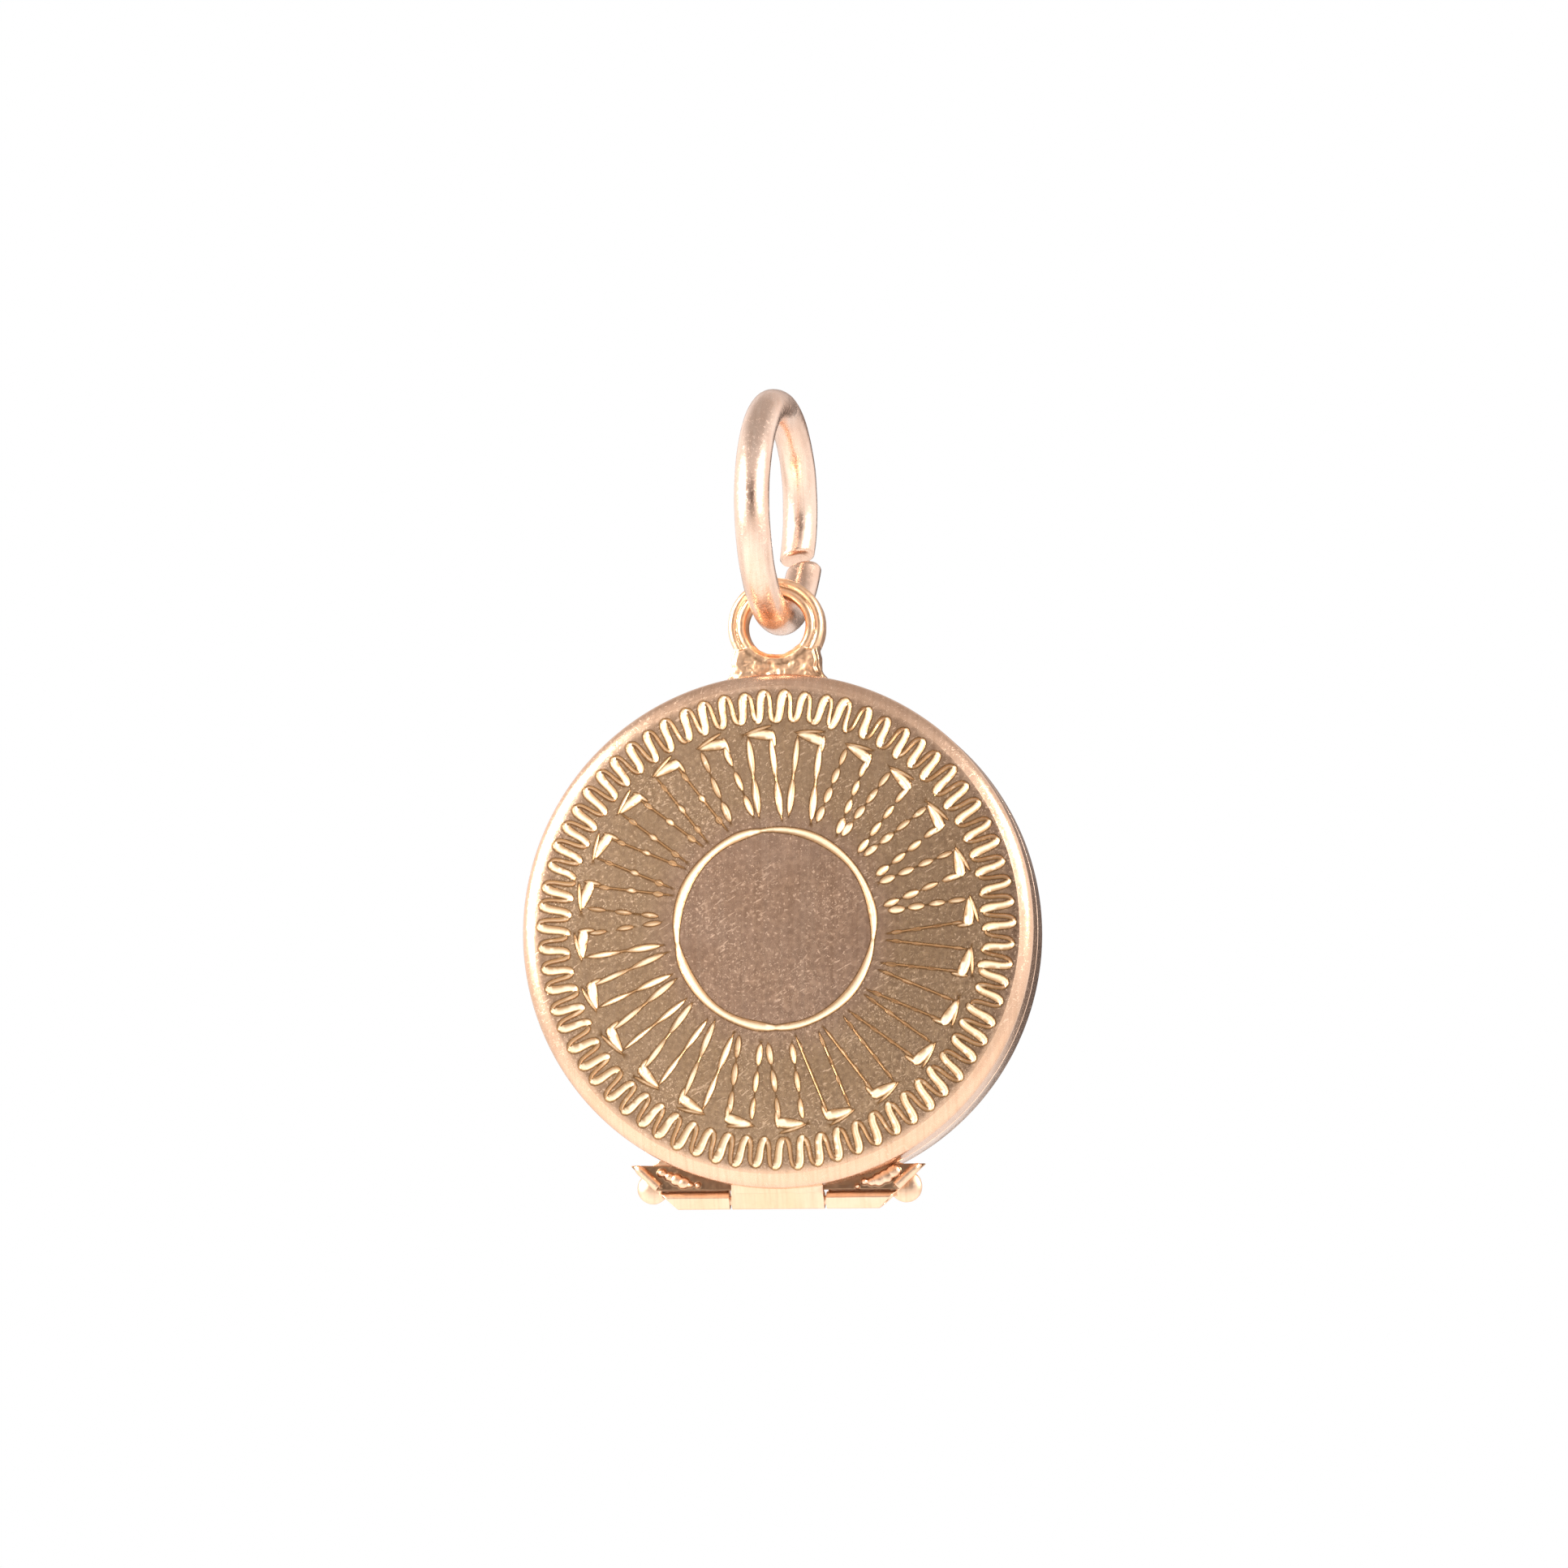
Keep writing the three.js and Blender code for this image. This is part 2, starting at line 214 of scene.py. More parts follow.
def make_piece(name, verts, faces, body, material, slot, replaces, sharp=32):
    """A mesh piece from millimetre vertices, smooth except across edges sharper than an angle."""
    mesh = bpy.data.meshes.new(name)
    mesh.from_pydata([Vector(v) * MM for v in verts], [], faces)
    mesh.validate()
    mesh.materials.append(material)
    piece = bpy.data.objects.new(name, mesh)
    bpy.context.scene.collection.objects.link(piece)
    mesh.update()
    mesh.shade_smooth()
    mesh.set_sharp_from_angle(angle=math.radians(sharp))
    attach(piece, body)
    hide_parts(*replaces)
    return piece


def arc(cx, cy, radius, start, end, steps):
    """Points on an arc, both ends included, angles in degrees."""
    turns = [math.radians(start + (end - start) * i / steps) for i in range(steps + 1)]
    return [(cx + radius * math.cos(a), cy + radius * math.sin(a)) for a in turns]


def rounded(outline, radius, steps=3):
    """A closed outline with each corner rounded to a radius that its sides have room for."""
    out = []
    count = len(outline)
    for i, corner in enumerate(outline):
        p = Vector(corner)
        before = Vector(outline[i - 1]) - p
        after = Vector(outline[(i + 1) % count]) - p
        if p.x < 1e-9:
            out.append(tuple(p))
            continue
        reach = min(radius, before.length * 0.45, after.length * 0.45)
        a = p + before.normalized() * reach
        b = p + after.normalized() * reach
        for k in range(steps + 1):
            t = k / steps
            out.append(tuple(a * (1 - t) ** 2 + p * (2 * t * (1 - t)) + b * t**2))
    return out


def turned_mesh(outline, segments):
    """Vertices and faces of an outline of (radius, depth) points turned about the case's axis."""
    verts = []
    rows = []
    for radius, depth in outline:
        if radius < 1e-9:
            rows.append([len(verts)] * segments)
            verts.append(to_case(0, 0, depth))
            continue
        rows.append(list(range(len(verts), len(verts) + segments)))
        for i in range(segments):
            u, v = clock(radius, 360 * i / segments)
            verts.append(to_case(u, v, depth))
    faces = []
    on_axis = any(radius < 1e-9 for radius, _ in outline)
    for low, high in zip(rows, rows[1:] if on_axis else rows[1:] + rows[:1]):
        for i in range(segments):
            n = (i + 1) % segments
            face = list(dict.fromkeys([low[i], low[n], high[n], high[i]]))
            if len(face) > 2:
                faces.append(face)
    return verts, faces


def band_faces(rows, sides, closed=False, flip=False):
    """Quads between rows of vertices laid one after another, each row a closed loop."""
    faces = []
    for k in range(rows if closed else rows - 1):
        below, above = k * sides, (k + 1) % rows * sides
        for i in range(sides):
            n = (i + 1) % sides
            a, b, c, d = below + i, below + n, above + n, above + i
            faces.append([a, d, c, b] if flip else [a, b, c, d])
    return faces


def outward(outline):
    """The outline ordered so that its turned faces point out."""
    area = sum(p[0] * q[1] - q[0] * p[1] for p, q in zip(outline, outline[1:] + outline[:1]))
    return outline if area < 0 else outline[::-1]


def open_at_axis(outline):
    """The outline started where it leaves the axis, if it meets it."""
    for i, (radius, _) in enumerate(outline):
        if max(radius, outline[i - 1][0]) < 1e-9:
            return outline[i:] + outline[:i]
    return outline


def turned_piece(name, outline, body, material, slot, replaces, bevel):
    """A turned piece with every corner of its outline rounded by a bevel."""
    shape = open_at_axis(outward(rounded(outline, bevel)))
    make_piece(name, *turned_mesh(shape, TURNED_SIDES), body, material, slot, replaces)


def slab(outline, front, back):
    """Flat plate from an outline of (x, z) points between two depths y."""
    count = len(outline)
    verts = [(x, y, z) for y in (front, back) for x, z in outline]
    faces = [list(range(count)), list(range(2 * count - 1, count - 1, -1))]
    for i in range(count):
        n = (i + 1) % count
        faces.append([i, i + count, n + count, n])
    return verts, faces


def ball(centre, radii, rings=10, sides=16):
    """Closed ellipsoid."""
    verts = []
    for j in range(rings + 1):
        polar = math.pi * j / rings
        for i in range(sides):
            turn = TAU * i / sides
            way = (math.sin(polar) * math.cos(turn), math.sin(polar) * math.sin(turn), math.cos(polar))
            verts.append(tuple(c + r * w for c, r, w in zip(centre, radii, way)))
    return verts, band_faces(rings + 1, sides, flip=True)


def rod(path, radii, sides=16):
    """Round rod along a path with a radius at each point, closed at both ends."""
    points = [Vector(p) for p in path]
    verts = []
    last = len(points) - 1
    for k, point in enumerate(points):
        way = (points[min(k + 1, last)] - points[max(k - 1, 0)]).normalized()
        side = way.cross(Vector((0, 1, 0.01))).normalized()
        up = side.cross(way)
        for i in range(sides):
            turn = TAU * i / sides
            verts.append(tuple(point + (side * math.cos(turn) + up * math.sin(turn)) * radii[k]))
    faces = band_faces(last + 1, sides)
    faces.append(list(range(sides - 1, -1, -1)))
    faces.append([last * sides + i for i in range(sides)])
    return verts, faces


def joined(parts):
    """Vertices and faces of several closed parts in one list."""
    verts, faces = [], []
    for part_verts, part_faces in parts:
        first = len(verts)
        verts.extend(part_verts)
        faces.extend([first + i for i in face] for face in part_faces)
    return verts, faces


def merged_mesh(name, parts, voxel, relax):
    """Overlapping parts made into one closed mesh and relaxed, in millimetres."""
    verts, faces = joined(parts)
    mesh = bpy.data.meshes.new(name + "_blank")
    mesh.from_pydata([Vector(v) for v in verts], [], faces)
    blank = bpy.data.objects.new(name + "_blank", mesh)
    bpy.context.scene.collection.objects.link(blank)
    merge = blank.modifiers.new("merge", "REMESH")
    merge.mode = "VOXEL"
    merge.voxel_size = voxel
    calm = blank.modifiers.new("calm", "SMOOTH")
    calm.factor = 0.5
    calm.iterations = relax
    shaped = blank.evaluated_get(bpy.context.evaluated_depsgraph_get())
    merged = bpy.data.meshes.new_from_object(shaped)
    bpy.data.objects.remove(blank)
    bpy.data.meshes.remove(mesh)
    return merged


def fused(name, parts, body, material, slot, replaces, voxel, relax, lumps, press, painted_shade=None):
    """One soldered piece out of overlapping closed parts.

    lumps gives the height of its unevenness at a point, press where a point may lie, and the last one
    how much painted shade darkens its colour there.
    """
    merged = merged_mesh(name, parts, voxel, relax)
    seed = len(name)
    verts = []
    for vertex in merged.vertices:
        lump = noise.noise(vertex.co * 2.2 + Vector((seed, 0, 0)))
        lump += 0.5 * noise.noise(vertex.co * 5.5 + Vector((0, seed, 0)))
        verts.append(press(vertex.co + vertex.normal * (lumps(vertex.co) * lump)))
    faces = [tuple(polygon.vertices) for polygon in merged.polygons]
    bpy.data.meshes.remove(merged)
    piece = make_piece(name, verts, faces, body, material, slot, replaces, sharp=180)
    # Painted shade, kept as a point attribute that the gold's colour reads.
    if painted_shade:
        painted_shade_values = piece.data.attributes.new("painted_shade", "FLOAT", "POINT")
        painted_shade_values.data.foreach_set("value", [min(max(painted_shade(Vector(v)), 0), 1) for v in verts])
    return piece


# ---- Engraving ----


class Cut:
    """One graver cut: a centre line, its half widths, the lean of its deepest line, and the strength of its
    painted highlight.
    """

    def __init__(self, line, half_width, lean=0.0, painted_highlight=1.0):
        self.line = np.array(line, float)
        self.half = np.array(half_width, float)
        self.lean = lean
        self.painted_highlight = painted_highlight
        step = np.gradient(self.line, axis=0)
        step /= np.linalg.norm(step, axis=1)[:, None]
        self.side = np.stack([-step[:, 1], step[:, 0]], axis=1)

    def offset(self, amount):
        return self.line + self.side * amount[:, None]

    def profile(self, points):
        """Signed distance outside the cut's edge and depth at each point."""
        best = np.full(len(points), np.inf)
        across = np.zeros(len(points))
        width = np.zeros(len(points))
        for i in range(len(self.line) - 1):
            a, b = self.line[i], self.line[i + 1]
            along = b - a
            t = ((points - a) @ along) / (along @ along)
            held = np.clip(t, 0, 1)
            gap = points - a - held[:, None] * along
            distance = np.linalg.norm(gap, axis=1)
            near = distance < best
            side = self.side[i] * (1 - held[:, None]) + self.side[i + 1] * held[:, None]
            signed = np.sign((gap * side).sum(1)) * distance
            here = self.half[i] * (1 - held) + self.half[i + 1] * held
            best = np.where(near, distance, best)
            across = np.where(near, signed, across)
            width = np.where(near, here, width)
        outside = best - width
        safe = np.maximum(width, 1e-6)
        spot = np.clip(across / safe, -1, 1)
        rise = np.where(
            spot < self.lean, (spot + 1) / (1 + self.lean), (1 - spot) / (1 - self.lean)
        )
        depth = np.where(outside < 0, width * CUT_SLOPE * rise, 0)
        return outside, depth


def tapered(start, end, half_width, bend=0.0, steps=8, blunt=0.55, lean=0.0, painted_highlight=1.0):
    """A cut from start to end, widest in the middle, bowed sideways by bend."""
    a, b = np.array(start, float), np.array(end, float)
    side = np.array([-(b - a)[1], (b - a)[0]])
    side /= np.linalg.norm(side)
    line, half = [], []
    for i in range(steps + 1):
        t = (1 - math.cos(math.pi * i / steps)) / 2
        line.append(a + (b - a) * t + side * bend * math.sin(math.pi * t))
        half.append(half_width * max(math.sin(math.pi * t), 0) ** blunt)
    half[0] = half[-1] = 0.0
    return Cut(line, half, lean, painted_highlight=painted_highlight)


def wander(amount):
    return rng.uniform(-amount, amount)


def border_stroke(first, sweep, start, centre, amplitude, half_width):
    """Line and half widths of a stroke that swings across the border and moves on by its sweep.

    It runs a little past both ends of the sweep, so that strokes meet in a rounded turn.
    """
    line, half = [], []
    steps = 14
    pitch = 360 / BORDER_TEETH
    for k in range(steps + 1):
        t = (1 - math.cos(math.pi * k / steps)) / 2
        phase = math.radians(start + 200 * t)
        turn = first + sweep * (t * 1.16 - 0.08)
        turn += pitch * 0.07 * math.sin(TAU * t)
        line.append(clock(centre + amplitude * math.sin(phase), turn))
        swell = max(math.sin(math.pi * t), 0) ** 0.36
        half.append(half_width * swell * (1 + 0.16 * math.cos(TAU * t + 0.5)))
    half[0] = half[-1] = 0.0
    return line, half


def border_cuts():
    """The wriggled border: a wide cut swings out and a narrow one with a weaker painted highlight swings back,
    tooth by tooth.
    """
    cuts = []
    pitch = 360 / BORDER_TEETH
    out_share = 0.54  # of a tooth, taken by the stroke that swings out
    middle = (BORDER_INNER + BORDER_OUTER) / 2
    reach = (BORDER_OUTER - BORDER_INNER) / 2
    for i in range(BORDER_TEETH):
        at = i * pitch + wander(0.35)
        amplitude = reach + wander(0.03)
        centre = middle + wander(0.03)
        mirrored = 18 < at < 98
        both_bright = at > 325 or at < 20
        wide, narrow = 0.14 + wander(0.012), 0.068 + wander(0.008)
        out_width, back_width = (narrow, wide) if mirrored else (wide, narrow)
        strokes = (
            (at, pitch * out_share, -100, out_width, 0.45),
            (at + pitch * out_share, pitch * (1 - out_share), 80, back_width, -0.4),
        )
        for first, sweep, start, half_width, lean in strokes:
            line, half = border_stroke(first, sweep, start, centre, amplitude, half_width)
            # Painted highlight: full on the wide strokes, strong on the narrow ones near the top, weak
            # elsewhere.
            painted_highlight = 1.0 if half_width == wide else 0.8 if both_bright else 0.38
            cuts.append(Cut(line, half, lean, painted_highlight=painted_highlight + wander(0.08)))
    return cuts


def dashed_side(line, outer, inner, parts, gap, half_width, painted_highlight, lean):
    """One side of a ray loop: lens cuts in a row, fatter towards the middle, mostly on a hair line."""
    cuts = []
    if gap < 0.1 or gap > 0.4:
        cuts.append(tapered(line(outer), line(inner), 0.026, blunt=0.25, steps=6, painted_highlight=0.25))
    length = (outer - inner) / parts
    for k in range(parts):
        near = outer - length * (k + gap * 0.5 + 0.05 * rng.random())
        far = outer - length * (k + 1 - gap * 0.5 - 0.08 * rng.random())
        fat = half_width * (0.82 + 0.36 * k / parts) + wander(0.01)
        cuts.append(tapered(line(near), line(far), fat, wander(0.012), 9, 0.5, lean, painted_highlight))
    return cuts


def ray_style(at):
    """The style of a ray's side by its clock angle, since the graver's load varied; its painted highlight
    follows where light falls.
    """
    return next(style for limit, style in RAY_STYLES if at % 360 < limit)


def ray_cuts():
    """Each loop is two dashed sides with a wedge closing their outer ends."""
    cuts = []
    for i in range(RAY_LOOPS):
        at = RAY_START + i * 360 / RAY_LOOPS + wander(0.45)
        outward_way = np.array(clock(1, at))
        right_way = np.array([outward_way[1], -outward_way[0]])
        tilt = wander(0.012)

        def side(shift):
            return lambda r: outward_way * r + right_way * (shift + tilt * (r - 5))

        cuts += dashed_side(side(0), RAY_OUTER - 0.03, RAY_INNER, *ray_style(at), lean=0.4)
        inner = RAY_INNER - 0.14 + wander(0.08)
        right = side(RAY_PAIR_GAP + wander(0.02))
        style = ray_style(at + 180 / RAY_LOOPS)
        cuts += dashed_side(right, RAY_OUTER - 0.16, inner, *style, lean=-0.4)
        cuts += wedge(at)
    return cuts


def wedge(at):
    """The chip that closes a loop's outer end, with finer cuts just outside it."""
    start = clock(RAY_OUTER + 0.03, at - 0.2)
    end = clock(RAY_OUTER - 0.08 + wander(0.04), at + 7.9)
    chip = tapered(start, end, 0.15, bend=0.03, blunt=0.3, lean=0.3, steps=12)
    chip.half *= np.linspace(0.35, 1.6, len(chip.half))
    fine_end = clock(RAY_OUTER + 0.26 + wander(0.03), at + 6.9)
    fine = tapered(clock(RAY_OUTER + 0.07, at - 0.8), fine_end, 0.05, 0.015, 8, 0.5, 0.2, 0.7)
    nick_start = clock(RAY_OUTER + 0.12, at + 7.2 + wander(0.5))
    nick = tapered(nick_start, clock(RAY_OUTER - 0.42, at + 8.0), 0.06, 0.01, 8, 0.5, -0.2, 0.9)
    return [chip, fine, nick]


def ring_cut():
    """The plain circle round the middle, run round by hand in overlapping arcs."""
    cuts = []
    arcs = ((-14, 100, 0.125), (94, 184, 0.135), (176, 266, 0.15), (258, 354, 0.145))
    for start, end, half_width in arcs:
        count = 36
        line, half = [], []
        for k in range(count + 1):
            t = k / count
            angle = start + (end - start) * t
            wobble = 0.02 * noise.noise(Vector((angle / 25, start, 3.1)))
            line.append(clock(RING_CUT + wobble, angle))
            swell = min(1, 6 * t, 6 * (1 - t)) ** 0.5
            half.append(half_width * swell * (0.9 + 0.15 * math.sin(angle / 9 + start)))
        half[0] = half[-1] = 0.0
        cuts.append(Cut(line, half, lean=0.25))
    return cuts


def add_line(points, edges, line, closed=False):
    """Adds a line's points and the edges between them, and back to its start if it is closed."""
    first = len(points)
    points.extend(map(tuple, line))
    edges.extend((i, i + 1) for i in range(first, len(points) - 1))
    if closed:
        edges.append((len(points) - 1, first))


def roll(r):
    """How far the face has dropped where it starts to roll over, beyond the crown."""
    past = max(r - ROLL_START, 0) / (FACE_RADIUS - ROLL_START)
    return past**2 * ROLL_SLOPE * (FACE_RADIUS - ROLL_START) / 2


def face_height(u, v):
    """Depth of the uncut face: a low crown with the slight dents of long wear."""
    r = math.hypot(u, v)
    crown = CROWN * (r / FACE_RADIUS) ** 2 + roll(r)
    dents = 0.006 * noise.noise(Vector((u * 0.45, v * 0.45, 7.7)))
    fade = min(1.0, (FACE_RADIUS - r) / 0.5)
    return -FRONT_DEPTH + crown + dents * max(fade, 0)


def face_plan(cuts):
    """Points and edges that the face's triangles keep: its rim first, then the cuts and a plain grid."""
    points, edges = [], []
    rim = [clock(FACE_RADIUS, 360 * i / RIM_SIDES) for i in range(RIM_SIDES)]
    add_line(points, edges, rim, closed=True)
    for cut in cuts:
        for extra in (0.0, CUT_HALO):
            left = cut.offset(cut.half + extra)
            right = cut.offset(-cut.half - extra)
            add_line(points, edges, [*left, *right[::-1]], closed=True)
        add_line(points, edges, cut.offset(cut.half * cut.lean))
    inner = np.arange(0, ROLL_START - 0.1, FACE_SPACING)
    rolling = np.linspace(ROLL_START, FACE_RADIUS, 6)[:-1]
    for k, r in enumerate([*inner, *rolling]):
        count = max(1, round(TAU * r / FACE_SPACING))
        points.extend(clock(r, 360 * j / count + 13 * k) for j in range(count))
    return points, edges


def near_cut(cut, points, margin):
    """Which points lie in the box round a cut."""
    reach = cut.half.max() + margin
    lo, hi = cut.line.min(0) - reach, cut.line.max(0) + reach
    return np.where(((points >= lo) & (points <= hi)).all(1))[0]


def cut_field(cuts, points):
    """At each point, the distance outside the nearest cut's edge and the depth cut away."""
    outside = np.full(len(points), np.inf)
    depth = np.zeros(len(points))
    for cut in cuts:
        near = near_cut(cut, points, CUT_HALO + CUT_MARGIN)
        if len(near):
            gap, deep = cut.profile(points[near])
            outside[near] = np.minimum(outside[near], gap)
            depth[near] = np.maximum(depth[near], deep)
    return outside, depth


def cut_painted_highlight(cuts, points):
    """The painted highlight of the cut that each point lies in, or 0 outside them."""
    painted_highlight = np.zeros(len(points), np.float32)
    for cut in cuts:
        near = near_cut(cut, points, CUT_MARGIN)
        if len(near):
            gap, _ = cut.profile(points[near])
            painted_highlight[near] = np.maximum(painted_highlight[near], np.where(gap < 0, cut.painted_highlight, 0))
    return painted_highlight


def edge_profile():
    """(radius, depth) points over the cover's shoulder, round its lip and up its inside."""
    edge_slope = math.degrees(math.atan(ROLL_SLOPE + 2 * CROWN / FACE_RADIUS))
    shoulder_centre = face_height(FACE_RADIUS, 0) + SHOULDER
    bend = arc(0, shoulder_centre, SHOULDER, edge_slope - 90, 0, ROUND_STEPS)
    start = bend[0][0]
    spread = SHOULDER / (SHOULDER - start)
    profile = [(FACE_RADIUS + (x - start) * spread, w) for x, w in bend[1:]]
    inside = CASE_RADIUS - SHEET
    inner_bend = SHOULDER - SHEET
    profile += arc(CASE_RADIUS - LIP_OUTER, -SEAM_HALF - LIP_OUTER, LIP_OUTER, 0, 90, 3)
    profile += arc(inside + LIP_INNER, -SEAM_HALF - LIP_INNER, LIP_INNER, 90, 180, 3)
    profile += arc(inside - inner_bend, shoulder_centre, inner_bend, 0, -90, 3)
    return profile


def add_rolled_edge(verts, faces, rim):
    """Goes on from a face's rim vertices over the edge and closes the cover with its flat inside."""
    rows = [rim]
    for radius, w in edge_profile():
        rows.append(list(range(len(verts), len(verts) + RIM_SIDES)))
        for i in range(RIM_SIDES):
            u, v = clock(radius, 360 * i / RIM_SIDES)
            verts.append(to_case(u, v, w))
    for low, high in zip(rows, rows[1:]):
        for i in range(RIM_SIDES):
            n = (i + 1) % RIM_SIDES
            faces.append([low[i], high[i], high[n], low[n]])
    middle = len(verts)
    verts.append(to_case(0, 0, SHEET - FRONT_DEPTH))
    last = rows[-1]
    for i in range(RIM_SIDES):
        faces.append([last[i], middle, last[(i + 1) % RIM_SIDES]])


def add_values(mesh, name, domain, count, values):
    """A number for each face or vertex; those past the end of values get 0."""
    filled = np.zeros(count, np.float32)
    filled[: len(values)] = values
    mesh.attributes.new(name, "FLOAT", domain).data.foreach_set("value", filled)


def engraved_cover():
    """The front cover: its face is cut by the engraving, then rolls over into the sheet's edge."""
    cuts = border_cuts() + ray_cuts() + ring_cut()
    points, edges = face_plan(cuts)
    flat = [Vector(p) for p in points]
    placed, _, triangles, origins, _, _ = delaunay_2d_cdt(flat, edges, [], 0, 1e-4, True)
    xy = np.array([tuple(p) for p in placed])
    outside, depth = cut_field(cuts, xy)
    verts = [to_case(u, v, face_height(u, v) + deep) for (u, v), deep in zip(xy, depth)]
    faces = [list(triangle) for triangle in triangles]
    painted_highlight = cut_painted_highlight(cuts, np.array([xy[face].mean(0) for face in faces]))
    landed = {source: i for i, sources in enumerate(origins) for source in sources}
    add_rolled_edge(verts, faces, [landed[i] for i in range(RIM_SIDES)])
    look = (FACE_GOLD, "engraved_front")
    cover = make_piece("engraved_cover", verts, faces, "front_half", *look, ["front_cover"], sharp=14)
    # Painted shade along each cut's edge, carried by the edge attribute.
    edge = np.clip(1 - np.abs(outside) / CUT_HALO, 0, 1)
    # The cut attribute carries each cut's painted highlight.
    add_values(cover.data, "cut", "FACE", len(cover.data.polygons), painted_highlight)
    add_values(cover.data, "edge", "POINT", len(cover.data.vertices), edge)


# ---- Materials ----


def add_node(tree, kind, inputs=(), **settings):
    """A shader node with its settings, its inputs linked or set to constants."""
    made = tree.nodes.new("ShaderNode" + kind)
    for key, value in settings.items():
        setattr(made, key, value)
    for key, value in dict(inputs).items():
        socket = made.inputs[key]
        if isinstance(value, bpy.types.NodeSocket):
            tree.links.new(value, socket)
        else:
            socket.default_value = value
    return made


def maths(tree, operation, a, b=0.0):
    return add_node(tree, "Math", {0: a, 1: b}, operation=operation).outputs[0]


def vector_maths(tree, operation, inputs):
    return add_node(tree, "VectorMath", inputs, operation=operation).outputs


def times(tree, a, b):
    return maths(tree, "MULTIPLY", a, b)


def mapped(tree, value, low, high, to_low=0.0, to_high=1.0):
    spans = {"Value": value, "From Min": low, "From Max": high, "To Min": to_low, "To Max": to_high}
    return add_node(tree, "MapRange", spans, clamp=True).outputs["Result"]


def noise_at(tree, place, scale, detail):
    """Noise at a place, about 0.3 to 0.7."""
    settings = {"Vector": place, "Scale": scale, "Detail": detail}
    return add_node(tree, "TexNoise", settings).outputs["Fac"]


def turned_place(tree, place, **settings):
    return add_node(tree, "Mapping", {"Vector": place, **settings}).outputs[0]


def mixed(tree, factor, a, b):
    """Colour a turning into colour b as the factor goes from 0 to 1."""
    made = add_node(tree, "Mix", data_type="RGBA")
    for socket, value in ((made.inputs["Factor"], factor), (made.inputs[6], a), (made.inputs[7], b)):
        if isinstance(value, bpy.types.NodeSocket):
            tree.links.new(value, socket)
        elif socket.type == "RGBA":
            socket.default_value = (*value, 1)
        else:
            socket.default_value = value
    return made.outputs[2]


def millimetres(tree):
    """Object coordinates in millimetres."""
    coordinate = add_node(tree, "TexCoord").outputs["Object"]
    return vector_maths(tree, "SCALE", {0: coordinate, "Scale": 1 / MM})[0]


def scratches(tree, place, turn, spacing, seed):
    """Long thin scratches in one direction, thinned out in patches."""
    turned = turned_place(tree, place, Rotation=turn, Location=(seed, seed * 0.7, 0))
    lines = noise_at(tree, turned_place(tree, turned, Scale=(0.22, spacing, spacing)), 1.0, 1.5)
    patches = mapped(tree, noise_at(tree, turned, 0.5, 1.0), 0.42, 0.58)
    return times(tree, mapped(tree, lines, 0.64, 0.69), patches)


def crossed_scratches(tree, place):
    """Scratches in four directions."""
    lines = scratches(tree, place, (0.2, 0.5, 0.3), 16, 1.3)
    for turn, spacing, seed in (
        ((0.1, -0.7, 1.2), 13, 4.1),
        ((0.9, 1.4, 0.2), 19, 7.9),
        ((-0.4, 2.2, 0.7), 11, 2.2),
    ):
        lines = maths(tree, "MAXIMUM", lines, scratches(tree, place, turn, spacing, seed))
    return lines


def brushing(tree, place, turn, fineness):
    """Fine brush marks running one way across the face."""
    across = turned_place(tree, place, Rotation=(0, turn, 0), Scale=(fineness, 1.0, 0.12))
    return noise_at(tree, across, 1.0, 3.0)


def from_axis(tree, place):
    """Distance of a place from the case's axis."""
    moved = vector_maths(tree, "SUBTRACT", {0: place, 1: (CASE_X, 0, CASE_Z)})[0]
    level = vector_maths(tree, "MULTIPLY", {0: moved, 1: (1, 0, 1)})[0]
    return vector_maths(tree, "LENGTH", {0: level})["Value"]


def attribute(tree, name):
    return add_node(tree, "Attribute", attribute_name=name).outputs["Fac"]


def new_material(name):
    """A material with its node tree, its shader and places in millimetres."""
    material = bpy.data.materials.new(name)
    material.use_nodes = True
    tree = material.node_tree
    return material, tree, tree.nodes["Principled BSDF"], millimetres(tree)


def set_surface(tree, shader, colour, rough, height=None):
    """Links colour, roughness and a height in thousandths of a millimetre to a shader."""
    tree.links.new(colour, shader.inputs["Base Color"])
    tree.links.new(rough, shader.inputs["Roughness"])
    if height:
        bump = add_node(tree, "Bump", {"Height": height, "Strength": 1.0, "Distance": 1e-6})
        tree.links.new(bump.outputs[0], shader.inputs["Normal"])


# Colour of the painted shade on the bail and on the hinge wings' set-back floors.
PAINTED_SHADE_BROWN = (0.2, 0.1, 0.045)
# Painted highlight of the bright cuts, then painted shade along their edges.
CUT_HIGHLIGHT_GOLD = (1.0, 0.88, 0.66)
CUT_EDGE_SHADE = (0.36, 0.17, 0.055)


def mottled(tree, place, tones, specks, brushed):
    """Gold's tones: clouds, specks, two runs of brush marks, and painted shade where a piece has it."""
    clouds = noise_at(tree, place, 0.55, 5.0)
    crossed = brushing(tree, place, -0.5, 5.0)
    colour = mixed(tree, mapped(tree, clouds, 0.34, 0.68), tones[0], tones[1])
    colour = mixed(tree, mapped(tree, specks, 0.5, 0.8, 0, 0.08), colour, tones[2])
    colour = mixed(tree, mapped(tree, brushed, 0.45, 0.75, 0, 0.4), colour, tones[2])
    colour = mixed(tree, mapped(tree, crossed, 0.5, 0.75, 0, 0.22), colour, tones[3])
    return mixed(tree, times(tree, attribute(tree, "painted_shade"), 0.85), colour, PAINTED_SHADE_BROWN)


